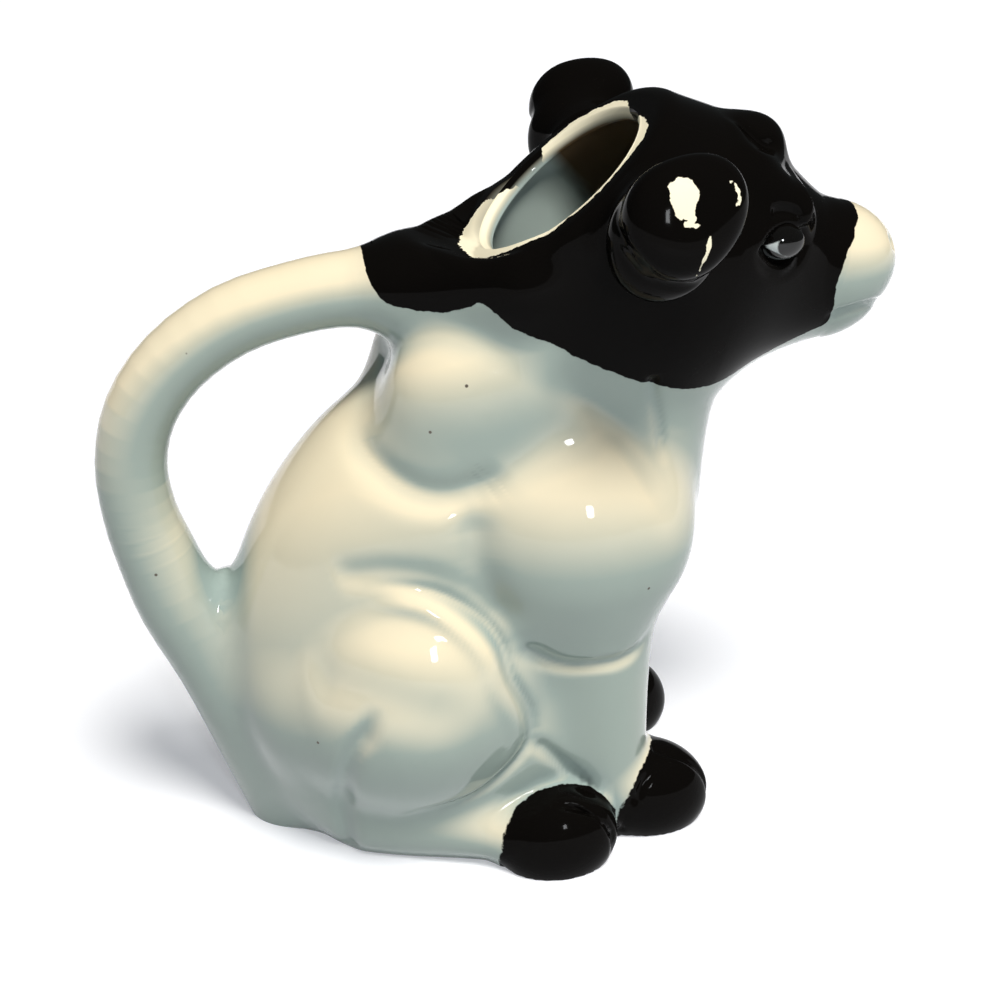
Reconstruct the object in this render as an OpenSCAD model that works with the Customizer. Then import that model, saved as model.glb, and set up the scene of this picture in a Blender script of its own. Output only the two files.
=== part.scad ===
// Seated calf milk jug in glazed earthenware. The animal is one hollow shell: it is filled
// through the round hole behind the poll, held by the handle that loops from the nape to the
// rump, and pours through the mouth. It faces +X and stands on the plane Z = 0.
//
// The outer skin is one smooth form, blended from lobes (turned ellipsoids) and limbs (round
// cones). figure() gives the signed distance of a point from that form. The shell is cut
// into rings by planes along its spine, and each ring point is found by walking outward
// from the spine until the form's surface is met. The inner skin is the same walk, stopped
// one wall thickness short. Every other piece is walked out in the same way and stops short
// of the skin that it sits on by the width of the seam.

/* [Figure] */
// height that the figure is proportioned to, a little above the tips of the ears
figure_h = 140; // [120:1:160]
// width over the haunches, from which the places across the body follow
figure_w = 60; // [56:1:66]

/* [Shell] */
// thickness of the fired wall
wall = 3.6; // [2.8:0.1:4.2]
// thickness of the floor inside the jug
floor_t = 5; // [4:0.5:8]
// depth of the recess inside the foot ring
foot_recess = 1; // [0.5:0.1:2]
// width of the foot ring that the jug stands on
foot_ring_w = 4; // [3:0.5:6]
// rounding of the lower edge
foot_edge = 1; // [0.6:0.1:1.4]
// width of the seam between the skin and what sits on it
seam = 0.2; // [0.15:0.05:0.3]

/* [Filling hole] */
// clear diameter of the filling hole
filler_d = 31; // [26:0.5:32]
// backward tilt of the rim, in degrees from level
filler_tilt = 39.6; // [36:0.2:42]
// width of the bevel round the inside of the rim
lip_w = 0.8; // [0.4:0.1:1]
// thickness of the lip under the rim
lip_t = 1.8; // [1.4:0.1:2.4]

/* [Pouring mouth] */
// width of the slot between the lips
mouth_w = 11; // [8:0.5:12]
// height of the slot between the lips
mouth_h = 3.6; // [2.6:0.2:4.4]

/* [Handle] */
// thickness of the handle at its slimmest
handle_d = 12; // [10:0.5:13]

/* [Small parts] */
// length of an ear from front to back
ear_l = 17; // [16:0.5:18.5]
// length of a fore hoof
fore_hoof_l = 25; // [23:0.5:26]
// length of a hind hoof
hind_hoof_l = 22; // [20:0.5:23]
// clearance between a hoof and its foot
hoof_seat = 0.35; // [0.3:0.05:0.5]
// length of an eye
eye_l = 7.6; // [6.4:0.2:8.4]
// clearance under an eye
eye_seat = 0.3; // [0.25:0.05:0.5]

/* [Hidden] */

cream_glaze = "#e6dcc3";
black_glaze = "#15130f";
eye_glaze = "#c9ccc6";

// A lobe is a place, three half sizes, a pitch in degrees and the reach of its blend. A limb
// is two ends, their two radii and the reach of its blend. Places and sizes along X and Z are
// shares of the height, those along Y are shares of the width, and radii and reaches are
// shares of the height. A form whose Y is negative is repeated on the other side.
body_shares = [
    // rump and belly
    [-0.085, 0, 0.17, 0.268, 0.417, 0.264, 0, 0.01],
    // back
    [-0.1, 0, 0.41, 0.315, 0.375, 0.2, 50, 0.085],
    // chest
    [0.085, 0, 0.415, 0.157, 0.35, 0.215, 0, 0.085],
    // neck
    [0.115, 0, 0.5, 0.171, 0, 0.7, 0.132, 0.121, 0.07],
    // shoulders
    [0.08, -0.242, 0.443, 0.143, 0.233, 0.143, 0, 0.03],
    // withers
    [-0.07, -0.167, 0.62, 0.08, 0.15, 0.09, 0, 0.043],
    // forelegs
    [0.1, -0.225, 0.343, 0.121, -0.225, 0.043, 0.075, 0.061, 0.036],
    // haunches
    [-0.13, -0.267, 0.24, 0.143, 0.242, 0.161, -15, 0.03],
    // hind feet
    [-0.186, -0.2, 0.05, -0.035, -0.342, 0.043, 0.057, 0.046, 0.03],
];
head_shares = [
    // skull
    [0.18, 0, 0.79, 0.18, 0.35, 0.16, -10, 0.057],
    // collar round the filling hole
    [0.171, 0, 0.743, 0.036, 0, 0.9, 0.143, 0.139, 0.057],
    // face
    [0.243, 0, 0.786, 0.4, 0, 0.743, 0.121, 0.071, 0.05],
    // jaw
    [0.243, 0, 0.72, 0.4, 0, 0.707, 0.107, 0.057, 0.043],
    // nape
    [0.015, 0, 0.657, 0.093, 0, 0.786, 0.129, 0.129, 0.057],
    // tuft of hair between the brows
    [0.3, 0, 0.896, 0.036, 0.083, 0.032, 0, 0.03],
    // brows
    [0.264, -0.183, 0.879, 0.329, -0.192, 0.839, 0.025, 0.018, 0.03],
];
snout_shares = [
    // muzzle with the upper lip
    [0.418, 0, 0.749, 0.074, 0.172, 0.066, -12, 0.02],
    // lower lip
    [0.407, 0, 0.702, 0.062, 0.138, 0.039, -10, 0.01],
];
socket_shares = [0.321, -0.308, 0.804, 0.043, 0.075, 0.029, 0, 0.02];
nostril_shares = [0.486, -0.075, 0.775, 0.014, 0.027, 0.012, 0, 0.007];

// centre of the filling hole and the reach of the rounding round its rim
filler_place_shares = [0.068, 0, 0.863];
rim_reach_share = 0.014;
rim_outer_share = 0.186;
handle_clear_share = 0.15;

// the planes of the head fan about a line under the throat; each row is an angle and the
// distance from that line to the spine
throat_shares = [0.357, 0, 0.582];
neck_angle = 18.2;
face_angle = 106;
spine_reach_shares = [0.298, 0.285, 0.262, 0.225, 0.2, 0.186, 0.178];

// spine of the torso, from the floor up to the neck joint: a place and a tilt share
torso_spine_shares = [
    [-0.057, 0], [-0.05, 0.16], [-0.036, 0.32], [-0.02, 0.44], [0.015, 0.55],
];

// centre of the pouring mouth and the point inside the muzzle that its skin is seen from
mouth_shares = [0.482, 0, 0.686];
muzzle_core_shares = [0.407, 0, 0.721];

// centre line of the handle with its radius as a share of the slimmest one
handle_shares = [
    [-0.064, 0.739, 1.33], [-0.171, 0.744, 1.07], [-0.243, 0.736, 1], [-0.321, 0.713, 1],
    [-0.389, 0.667, 1], [-0.434, 0.607, 1], [-0.453, 0.539, 1], [-0.45, 0.471, 1.05],
    [-0.436, 0.411, 1.15], [-0.414, 0.336, 1.23], [-0.38, 0.243, 1.15], [-0.341, 0.129, 1.15],
    [-0.298, 0, 1.2],
];
// the line that the handle's rings are seen from, which stays clear of the jug's skin
handle_spine_shares = [
    [-0.06, 0.769], [-0.1, 0.755], [-0.15, 0.747], [-0.2, 0.743], [-0.243, 0.736],
    [-0.321, 0.713], [-0.389, 0.667], [-0.434, 0.607], [-0.453, 0.539], [-0.452, 0.471],
    [-0.443, 0.411], [-0.421, 0.336], [-0.39, 0.243], [-0.36, 0.136], [-0.334, 0.061],
    [-0.328, 0.029], [-0.328, 0.014], [-0.328, 0],
];
web_reach_share = 0.05;
web_edge_share = 0.7;

ear_shares = [0.143, -0.567, 0.884, 1, 0.125, 0.063, -15, 0];
ear_rim_shares = [0.136, -0.5, 0.853, 1, 0.1, 0.066, -10, 0.008];
ear_root_shares = [0.15, -0.25, 0.843, 0.143, -0.485, 0.865, 0.057, 0.052, 0.02];
ear_start_shares = [0.143, -0.4, 0.857];
ear_reach_share = 0.02;
fore_hoof_shares = [0.181, -0.25, 0.04, 1, 0.145, 0.075, -20, 0];
hind_hoof_shares = [0.046, -0.417, 0.034, 1, 0.117, 0.071, 10, 0];
hoof_core_share = 0.2;
eye_shares = [0.306, -0.255, 0.809, 1, 0.043, 0.021, 0, 0];

// how finely the skins are divided
half_turns = 24;
torso_rings = 30;
torso_inner_rings = 11;
neck_rings = 3;
hole_rings = 9;
face_rings = 13;
muzzle_rings = 7;
muzzle_inner_rings = 4;
handle_pieces = 36;
handle_rings = 40;
handle_turns = 24;
ear_rings = 5;
ear_turns = 20;
cap_rings = 4;
hoof_bands = 11;
hoof_turns = 18;
eye_bands = 6;
eye_turns = 12;
walk_steps = 40;
touch_share = 0.001;

mirror_y = [[1, 0, 0], [0, -1, 0], [0, 0, 1]];

function placed(s) = [s[0] * figure_h, s[1] * figure_w, s[2] * figure_h];
function in_plane(s) = [s[0] * figure_h, 0, s[1] * figure_h];

// a row of shares as sizes: a lobe has a number in third place, a limb a pair of radii
function sized(s, length = 0) = len(s) == 8
    ? [placed(s), [length > 0 ? length / 2 : s[3] * figure_h, s[4] * figure_w,
        s[5] * figure_h], s[6], s[7] * figure_h]
    : [placed(s), placed([s[3], s[4], s[5]]), [s[6] * figure_h, s[7] * figure_h],
        s[8] * figure_h];

body_forms = [for (s = body_shares) sized(s)];
head_forms = [for (s = head_shares) sized(s)];
snout_forms = [for (s = snout_shares) sized(s)];
socket = sized(socket_shares);
nostril = sized(nostril_shares);

// signed distance of a point from a lobe and from a limb, negative inside
function lobe(p, f) =
    let (
        q = p - f[0],
        u = [q.x * cos(f[2]) + q.z * sin(f[2]), q.y, q.z * cos(f[2]) - q.x * sin(f[2])],
        v = [u.x / f[1].x, u.y / f[1].y, u.z / f[1].z],
        w = [v.x / f[1].x, v.y / f[1].y, v.z / f[1].z]
    )
    norm(w) == 0 ? -min(f[1]) : norm(v) * (norm(v) - 1) / norm(w);

function limb(p, f) =
    let (
        along = f[1] - f[0],
        h = min(1, max(0, (p - f[0]) * along / (along * along)))
    )
    norm(p - f[0] - h * along) - f[2][0] - h * (f[2][1] - f[2][0]);

function form(p, f) = is_num(f[2]) ? lobe(p, f) : limb(p, f);

// union of two distances, and a cut of one by the other, rounded over the given reach
function blend(a, b, reach) =
    min(a, b) - (reach > 0 ? pow(max(reach - abs(a - b), 0), 2) / reach / 4 : 0);
function carve(a, b, reach) = -blend(-a, b, reach);

function both(p, f) =
    f[0].y == 0 ? form(p, f) : blend(form(p, f), form(mirror_y * p, f), rim_reach_share * figure_h);

function blended(p, forms, d, i = 0) =
    i == len(forms) ? d : blended(p, forms, blend(d, both(p, forms[i]), forms[i][3]), i + 1);

// the filling hole: its centre, the outward normal and the line up its rim
filler_at = placed(filler_place_shares);
filler_out = [-sin(filler_tilt), 0, cos(filler_tilt)];
filler_up = [cos(filler_tilt), 0, sin(filler_tilt)];
filler_r = filler_d / 2;
rim_outer_r = rim_outer_share * figure_h;

function above_rim(p) = (p - filler_at) * filler_out;
function from_filler_axis(p) = norm(cross(p - filler_at, filler_out));

// the whole figure before its rim is cut, and with the rim cut flat
function solid_figure(p) =
    let (
        body = blended(p, body_forms, figure_h),
        skull = blended(p, head_forms, body),
        orbits = carve(skull, both(p, socket), socket[3]),
        snout = blended(p, snout_forms, orbits)
    )
    carve(snout, both(p, nostril), nostril[3]);

function rim_cut(p, r) = -min(above_rim(p), r - from_filler_axis(p));
function figure(p) = carve(solid_figure(p), rim_cut(p, rim_outer_r), rim_reach_share * figure_h);
function cavity(p) = max(solid_figure(p) + wall, above_rim(p) + lip_t);

// distance from a point inside a form to its surface along a direction
function walk(field, from, dir, r = 0, n = 0) =
    let (d = field(from + r * dir))
    n == walk_steps || abs(d) < touch_share * wall
        ? r : walk(field, from, dir, max(0, r - d), n + 1);

outer_field = function (p) figure(p);
inner_field = function (p) cavity(p);

// a point of the list at a fraction of its length, on a smooth curve through the list
function spline(list, t) =
    let (
        n = len(list) - 1,
        i = min(floor(t * n), n - 1),
        s = t * n - i,
        b = list[i],
        c = list[i + 1],
        a = i > 0 ? list[i - 1] : 2 * b - c,
        d = i < n - 1 ? list[i + 2] : 2 * c - b
    )
    (2 * b + (c - a) * s + (2 * a - 5 * b + 4 * c - d) * s * s
        + (3 * b - 3 * c + d - a) * s * s * s) / 2;

// a ring: the place of its spine point, its tilt, and the angle kept free over the top
function ring_dir(tilt, turn) =
    [cos(tilt) * cos(turn), -sin(turn), -sin(tilt) * cos(turn)];

function ring_points(ring, field) =
    let (
        half = [for (j = [0 : half_turns])
            let (
                dir = ring_dir(ring[1], (180 - ring[2]) * (1 - j / half_turns)),
                p = ring[0] + walk(field, ring[0], dir) * dir
            )
            j == half_turns || (j == 0 && ring[2] == 0) ? [p.x, 0, p.z] : p]
    )
    concat(half, [for (j = [half_turns - 1 : -1 : 0]) mirror_y * half[j]]);

// faces of a skin given as rings that share a count of points: the first and last points
// of a ring meet except where the skin is open, and the faces turn outward or inward
columns = 2 * half_turns;
function point_at(start, ring, c, open) =
    start + ring * (columns + 1) + (c == columns && !open[ring] ? 0 : c);
function quad(a, b, c, d, inward) =
    inward ? [[a, c, b], [a, d, c]] : [[a, b, c], [a, c, d]];
function skin_faces(start, open, inward) = [
    for (i = [0 : len(open) - 2], c = [0 : columns - 1])
        let (
            near = point_at(start, i, c, open),
            near_next = point_at(start, i, c + 1, open),
            far = point_at(start, i + 1, c, open),
            far_next = point_at(start, i + 1, c + 1, open)
        )
        each c < half_turns ? quad(near, near_next, far_next, far, inward)
            : quad(near_next, far_next, far, near, inward)
];
// faces between the ends of an outer and an inner skin
function end_faces(outer, o, outer_open, inner, i, inner_open, inward) = [
    for (c = [0 : columns - 1])
        each quad(point_at(outer, o, c, outer_open), point_at(outer, o, c + 1, outer_open),
            point_at(inner, i, c + 1, inner_open), point_at(inner, i, c, inner_open), inward)
];
function fan_faces(hub, start, ring, open, inward) = [
    for (c = [0 : columns - 1])
        let (a = point_at(start, ring, c, open), b = point_at(start, ring, c + 1, open))
        inward ? [hub, b, a] : [hub, a, b]
];

// neck joint and the rings of the head
throat = placed(throat_shares);
function spine_reach(angle) =
    spline(spine_reach_shares, (angle - neck_angle) / (face_angle - neck_angle)) * figure_h;
function fan_place(angle) = throat + spine_reach(angle) * [-cos(angle), 0, sin(angle)];

hole_r = filler_r + lip_w;
function angle_to(p) = atan2(p.z - throat.z, throat.x - p.x);
hole_low = angle_to(filler_at - hole_r * filler_up);
hole_high = angle_to(filler_at + hole_r * filler_up);

// the angle that a head ring keeps free for the hole that lies u up the rim from its centre
function hole_gap(u) =
    let (
        mid = filler_at + u * filler_up,
        half = sqrt(max(0, hole_r * hole_r - u * u)),
        angle = angle_to(mid)
    )
    [fan_place(angle), angle, atan2(half, norm(mid - fan_place(angle)))];

neck_ring_list = [for (i = [0 : neck_rings - 1])
    let (angle = neck_angle + (hole_low - neck_angle) * i / neck_rings)
    [fan_place(angle), angle, 0]];
hole_ring_list = [for (i = [0 : hole_rings])
    let (ring = hole_gap(-hole_r * cos(180 * i / hole_rings)))
    i == 0 || i == hole_rings ? [ring[0], ring[1], 0] : ring];
face_ring_list = [for (i = [1 : face_rings])
    let (angle = hole_high + (face_angle - hole_high) * i / face_rings)
    [fan_place(angle), angle, 0]];
head_ring_list = concat(neck_ring_list, hole_ring_list, face_ring_list);
head_open = [for (ring = head_ring_list) ring[2] > 0];

// the inner skin meets the bevel of the rim along the edges of the hole
function rim_inside(p) =
    let (out = p - filler_at - above_rim(p) * filler_out)
    filler_at + filler_r * out / norm(out) - lip_t * filler_out;
function head_inner_points(ring, at_hole) =
    let (points = ring_points(ring, inner_field), edge = ring_points(ring, outer_field))
    [for (c = [0 : columns]) at_hole && (c == 0 || c == columns)
        ? rim_inside(edge[c]) : points[c]];

module head_shell() {
    rings = len(head_ring_list);
    first_hole = neck_rings;
    last_hole = neck_rings + hole_rings;
    outer = [for (ring = head_ring_list) each ring_points(ring, outer_field)];
    inner = [for (i = [0 : rings - 1])
        each head_inner_points(head_ring_list[i], i >= first_hole && i <= last_hole)];
    inside = len(outer);
    strip = [
        for (i = [first_hole : last_hole - 1])
            each concat(
                quad(point_at(0, i, 0, head_open), point_at(0, i + 1, 0, head_open),
                    point_at(inside, i + 1, 0, head_open), point_at(inside, i, 0, head_open),
                    true),
                quad(point_at(0, i, columns, head_open),
                    point_at(0, i + 1, columns, head_open),
                    point_at(inside, i + 1, columns, head_open),
                    point_at(inside, i, columns, head_open), false))
    ];
    polyhedron(concat(outer, inner), concat(
        skin_faces(0, head_open, true),
        skin_faces(inside, head_open, false),
        end_faces(0, 0, head_open, inside, 0, head_open, false),
        end_faces(0, rings - 1, head_open, inside, rings - 1, head_open, true),
        strip));
}

// rings of the torso, level at the foot and tilted to the neck joint at the top
neck_place = fan_place(neck_angle);
torso_spine = concat([for (s = torso_spine_shares) in_plane(s)], [neck_place]);
function torso_ring(z_from, t) =
    let (
        at = spline(torso_spine, t),
        lift = max(0, (at.z - torso_spine[3].z) / (neck_place.z - torso_spine[3].z))
    )
    [[at.x, 0, max(at.z, z_from)], neck_angle * lift, 0];

module torso_shell() {
    outer_rings = [for (i = [0 : torso_rings]) torso_ring(foot_edge, i / torso_rings)];
    floor_share = floor_t / neck_place.z;
    inner_rings = [for (i = [0 : torso_inner_rings])
        torso_ring(floor_t, floor_share + (1 - floor_share) * i / torso_inner_rings)];
    skin = [for (ring = outer_rings) ring_points(ring, outer_field)];
    sole = skin[0];
    sole_at = [torso_spine[0].x, 0, 0];
    function shrunk(p, by) =
        let (flat = [p.x, p.y, 0], inward = sole_at - flat)
        flat + by * inward / norm(inward);
    foot = [for (p = sole) shrunk(p, foot_edge)];
    ring_in = [for (p = sole) shrunk(p, foot_edge + foot_ring_w)];
    recess = [for (p = sole)
        shrunk(p, foot_edge + foot_ring_w + foot_recess) + [0, 0, foot_recess]];
    rings = concat([recess, ring_in, foot], skin);
    outer = [for (ring = rings) each ring];
    inner = [for (ring = inner_rings) each ring_points(ring, inner_field)];
    inside = len(outer);
    hubs = inside + len(inner);
    outer_open = [for (ring = rings) false];
    inner_open = [for (ring = inner_rings) false];
    polyhedron(concat(outer, inner,
        [sole_at + [0, 0, foot_recess], inner_rings[0][0]]), concat(
        skin_faces(0, outer_open, true),
        skin_faces(inside, inner_open, false),
        end_faces(0, len(rings) - 1, outer_open, inside, torso_inner_rings, inner_open, true),
        fan_faces(hubs, 0, 0, outer_open, false),
        fan_faces(hubs + 1, inside, 0, inner_open, true)));
}

// skin of the muzzle, seen from its core: rings close in from the joint to the slot
muzzle_core = placed(muzzle_core_shares);
mouth_at = placed(mouth_shares);
joint_ring = head_ring_list[len(head_ring_list) - 1];
function slot_point(turn) =
    mouth_at + [0, -mouth_w / 2 * sin(turn), -mouth_h / 2 * cos(turn)];
function muzzle_ring(joint_points, field, t) =
    let (half = [for (c = [0 : half_turns])
        let (
            aim = (1 - t) * joint_points[c] + t * slot_point(180 * (1 - c / half_turns))
                - muzzle_core,
            dir = aim / norm(aim)
        )
        t == 0 ? joint_points[c] : muzzle_core + walk(field, muzzle_core, dir) * dir])
    concat(half, [for (c = [half_turns - 1 : -1 : 0]) mirror_y * half[c]]);

module muzzle_shell() {
    outer_joint = ring_points(joint_ring, outer_field);
    inner_joint = ring_points(joint_ring, inner_field);
    outer = [for (i = [0 : muzzle_rings])
        each muzzle_ring(outer_joint, outer_field, i / muzzle_rings)];
    inner = [for (i = [0 : muzzle_inner_rings])
        each muzzle_ring(inner_joint, inner_field, i / muzzle_inner_rings)];
    inside = len(outer);
    outer_open = [for (i = [0 : muzzle_rings]) false];
    inner_open = [for (i = [0 : muzzle_inner_rings]) false];
    polyhedron(concat(outer, inner), concat(
        skin_faces(0, outer_open, true),
        skin_faces(inside, inner_open, false),
        end_faces(0, 0, outer_open, inside, 0, inner_open, false),
        end_faces(0, muzzle_rings, outer_open, inside, muzzle_inner_rings, inner_open, true)));
}

// handle: a round bar along a curve, flared where it runs into the nape and down the rump
handle_line = [for (t = [0 : 1 / handle_pieces : 1 + 1 / handle_pieces / 2])
    spline(handle_shares, t)];
handle_bars = [for (i = [0 : handle_pieces - 1])
    [in_plane(handle_line[i]), in_plane(handle_line[i + 1]),
        [handle_line[i][2], handle_line[i + 1][2]] * handle_d / 2]];
function handle_bar(p) = min([for (bar = handle_bars) limb(p, bar)]);
web_reach = web_reach_share * figure_h;
handle_field = function (p)
    let (skin = figure(p))
    let (bar = handle_bar(p))
    max(blend(skin, bar, web_reach), seam - skin, bar - web_edge_share * web_reach,
        seam - rim_cut(p, handle_clear_share * figure_h));

handle_spine = function (t) in_plane(spline(handle_spine_shares, t));
module handle_bar_solid() {
    walked_skin(handle_spine, [0, 1, 0], handle_field, handle_rings, handle_turns, cap_rings, 0);
}

// a skin walked out round a spine: its rings stand square to the spine, and over an end with
// cap rings the rays lean along the spine to close it
module walked_skin(spine, across, field, rings, turns, caps_from, caps_to) {
    step_share = 0.25 / rings;
    function met(share, lean, turn) =
        let (
            at = spine(share),
            run = spine(min(1, share + step_share)) - spine(max(0, share - step_share)),
            along = run / norm(run),
            side = cross(across, along),
            dir = cos(lean) * (cos(turn) * side + sin(turn) * across) + sin(lean) * along
        )
        at + walk(field, at, dir) * dir;
    stations = concat(
        [for (i = [1 : 1 : caps_from - 1]) [0, 90 * (i / caps_from - 1)]],
        [for (i = [0 : rings]) [i / rings, 0]],
        [for (i = [1 : 1 : caps_to - 1]) [1, 90 * i / caps_to]]);
    points = [for (s = stations, j = [0 : turns - 1]) met(s[0], s[1], 360 * j / turns)];
    ends = [met(0, -90, 0), caps_to > 0 ? met(1, 90, 0) : spine(1)];
    last = len(stations) - 1;
    hub = len(points);
    function index(i, j) = i * turns + j % turns;
    polyhedron(concat(points, ends), concat(
        [for (i = [0 : last - 1], j = [0 : turns - 1])
            each quad(index(i, j), index(i, j + 1), index(i + 1, j + 1), index(i + 1, j),
                true)],
        [for (j = [0 : turns - 1]) [hub, index(0, j), index(0, j + 1)]],
        [for (j = [0 : turns - 1]) [hub + 1, index(last, j + 1), index(last, j)]]));
}

// a small piece walked out from a point inside it, with its poles along the given axis
module grown(from, field, axis, bands, turns) {
    side = [1, 0, 0];
    up = cross(axis, side);
    function dir(lat, turn) =
        cos(lat) * axis + sin(lat) * (cos(turn) * side + sin(turn) * up);
    function met(d) = from + walk(field, from, d) * d;
    points = concat([met(axis)],
        [for (i = [1 : bands - 1], j = [0 : turns - 1]) met(dir(180 * i / bands, 360 * j / turns))],
        [met(-axis)]);
    last = len(points) - 1;
    function index(i, j) = 1 + (i - 1) * turns + j % turns;
    polyhedron(points, concat(
        [for (j = [0 : turns - 1]) [0, index(1, j + 1), index(1, j)]],
        [for (i = [1 : bands - 2], j = [0 : turns - 1])
            each quad(index(i, j), index(i, j + 1), index(i + 1, j + 1), index(i + 1, j),
                false)],
        [for (j = [0 : turns - 1])
            [last, index(bands - 1, j), index(bands - 1, j + 1)]]));
}

ear = sized(ear_shares, ear_l);
ear_root = sized(ear_root_shares);
ear_rim = sized(ear_rim_shares, ear_l);
ear_field = function (p)
    let (
        skin = figure(p),
        leaf = blend(lobe(p, ear), lobe(p, ear_rim), ear_rim[3]),
        whole = blend(leaf, limb(p, ear_root), ear_root[3])
    )
    max(blend(skin, whole, ear_reach_share * figure_h), seam - skin);
ear_start = placed(ear_start_shares);
ear_spine = function (t) ear_start + t * (ear[0] - ear_start);
module ear_solid() {
    walked_skin(ear_spine, [1, 0, 0], ear_field, ear_rings, ear_turns, cap_rings, cap_rings);
}

fore_hoof = sized(fore_hoof_shares, fore_hoof_l);
hind_hoof = sized(hind_hoof_shares, hind_hoof_l);
eye = sized(eye_shares, eye_l);
fore_hoof_field = function (p) max(lobe(p, fore_hoof), hoof_seat - figure(p), -p.z);
hind_hoof_field = function (p) max(lobe(p, hind_hoof), hoof_seat - figure(p), -p.z);
eye_field = function (p) max(lobe(p, eye), eye_seat - figure(p));
module fore_hoof_solid() {
    core = fore_hoof[0] + [hoof_core_share * fore_hoof_l, 0, 0];
    grown(core, fore_hoof_field, [0, 0, 1], hoof_bands, hoof_turns);
}
module hind_hoof_solid() {
    grown(hind_hoof[0], hind_hoof_field, [0, 0, 1], hoof_bands, hoof_turns);
}
module eye_solid() { grown(eye[0], eye_field, [0, -1, 0], eye_bands, eye_turns); }

module torso() { color(cream_glaze) torso_shell(); }
module head() { color(black_glaze) head_shell(); }
module muzzle() { color(cream_glaze) muzzle_shell(); }
module handle() { color(cream_glaze) handle_bar_solid(); }
module right_ear() { color(black_glaze) ear_solid(); }
module left_ear() { color(black_glaze) mirror([0, 1, 0]) ear_solid(); }
module right_fore_hoof() { color(black_glaze) fore_hoof_solid(); }
module left_fore_hoof() { color(black_glaze) mirror([0, 1, 0]) fore_hoof_solid(); }
module right_hind_hoof() { color(black_glaze) hind_hoof_solid(); }
module left_hind_hoof() { color(black_glaze) mirror([0, 1, 0]) hind_hoof_solid(); }
module right_eye() { color(eye_glaze) eye_solid(); }
module left_eye() { color(eye_glaze) mirror([0, 1, 0]) eye_solid(); }

torso();
head();
muzzle();
handle();
right_ear();
left_ear();
right_fore_hoof();
left_fore_hoof();
right_hind_hoof();
left_hind_hoof();
right_eye();
left_eye();
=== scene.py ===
import bpy
import numpy as np
from bpy.props import FloatProperty, FloatVectorProperty, PointerProperty
from bpy.types import Operator, Panel, PropertyGroup
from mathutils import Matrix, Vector


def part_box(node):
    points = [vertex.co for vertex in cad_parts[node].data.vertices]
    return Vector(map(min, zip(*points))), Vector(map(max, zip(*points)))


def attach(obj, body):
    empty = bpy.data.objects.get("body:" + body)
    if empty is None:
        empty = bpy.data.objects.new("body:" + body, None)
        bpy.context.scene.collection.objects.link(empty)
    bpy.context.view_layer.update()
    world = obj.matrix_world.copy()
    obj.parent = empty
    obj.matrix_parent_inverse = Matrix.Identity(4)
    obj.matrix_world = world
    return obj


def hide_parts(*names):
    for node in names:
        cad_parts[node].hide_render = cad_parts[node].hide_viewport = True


bl_info = {
    "name": "Calf Milk Jug",
    "version": (1, 0, 0),
    "blender": (4, 5, 0),
    "location": "View3D > Sidebar > Milk Jug",
    "description": "Builds a glazed earthenware milk jug in the form of a seated calf",
    "category": "Object",
}

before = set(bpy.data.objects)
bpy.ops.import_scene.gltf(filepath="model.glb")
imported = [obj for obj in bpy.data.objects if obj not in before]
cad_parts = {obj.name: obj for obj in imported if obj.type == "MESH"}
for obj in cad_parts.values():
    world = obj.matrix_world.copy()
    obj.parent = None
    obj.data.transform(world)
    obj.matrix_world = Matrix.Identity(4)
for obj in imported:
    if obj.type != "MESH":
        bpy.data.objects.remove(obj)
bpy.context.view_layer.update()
ROOT = "root"
MM = 0.001

# the ears reach this share of the height that the figure is proportioned to
ear_top_share = 0.956
FIGURE_H = round(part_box("right_ear")[1][2] / ear_top_share, 3)

# A lobe is a place, three half sizes, a pitch in degrees and the reach of its blend. A limb
# is two ends, their two radii and the reach of its blend. Places and sizes along X and Z are
# shares of the height, those along Y are shares of the width, and radii and reaches are
# shares of the height. A form whose Y is negative is repeated on the other side.
body_shares = [
    # rump and belly
    [-0.085, 0, 0.17, 0.268, 0.417, 0.264, 0, 0.01],
    # back
    [-0.1, 0, 0.41, 0.315, 0.375, 0.2, 50, 0.085],
    # chest
    [0.085, 0, 0.415, 0.157, 0.35, 0.215, 0, 0.085],
    # neck
    [0.115, 0, 0.5, 0.171, 0, 0.7, 0.132, 0.121, 0.07],
    # shoulders
    [0.08, -0.242, 0.443, 0.143, 0.233, 0.143, 0, 0.03],
    # withers
    [-0.07, -0.167, 0.62, 0.08, 0.15, 0.09, 0, 0.043],
    # forelegs
    [0.1, -0.225, 0.343, 0.121, -0.225, 0.043, 0.075, 0.061, 0.036],
    # hips
    [-0.12, -0.24, 0.24, -0.22, -0.13, 0.215, 0.115, 0.1, 0.05],
    # haunches
    [-0.13, -0.267, 0.24, 0.143, 0.242, 0.161, -15, 0.03],
    # hind feet
    [-0.186, -0.2, 0.05, -0.035, -0.342, 0.043, 0.057, 0.046, 0.03],
]
head_shares = [
    # skull
    [0.18, 0, 0.79, 0.18, 0.35, 0.16, -10, 0.057],
    # collar round the filling hole
    [0.171, 0, 0.743, 0.036, 0, 0.9, 0.143, 0.139, 0.057],
    # face
    [0.243, 0, 0.786, 0.4, 0, 0.743, 0.121, 0.071, 0.05],
    # jaw
    [0.243, 0, 0.72, 0.4, 0, 0.707, 0.107, 0.057, 0.043],
    # nape
    [0.015, 0, 0.657, 0.093, 0, 0.786, 0.129, 0.129, 0.057],
    # tuft of hair between the brows
    [0.3, 0, 0.896, 0.036, 0.083, 0.032, 0, 0.03],
    # brows
    [0.264, -0.183, 0.879, 0.329, -0.192, 0.839, 0.025, 0.018, 0.03],
]
snout_shares = [
    # muzzle with the upper lip
    [0.418, 0, 0.749, 0.074, 0.172, 0.066, -12, 0.02],
    # lower lip
    [0.407, 0, 0.702, 0.062, 0.138, 0.039, -10, 0.01],
]
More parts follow.
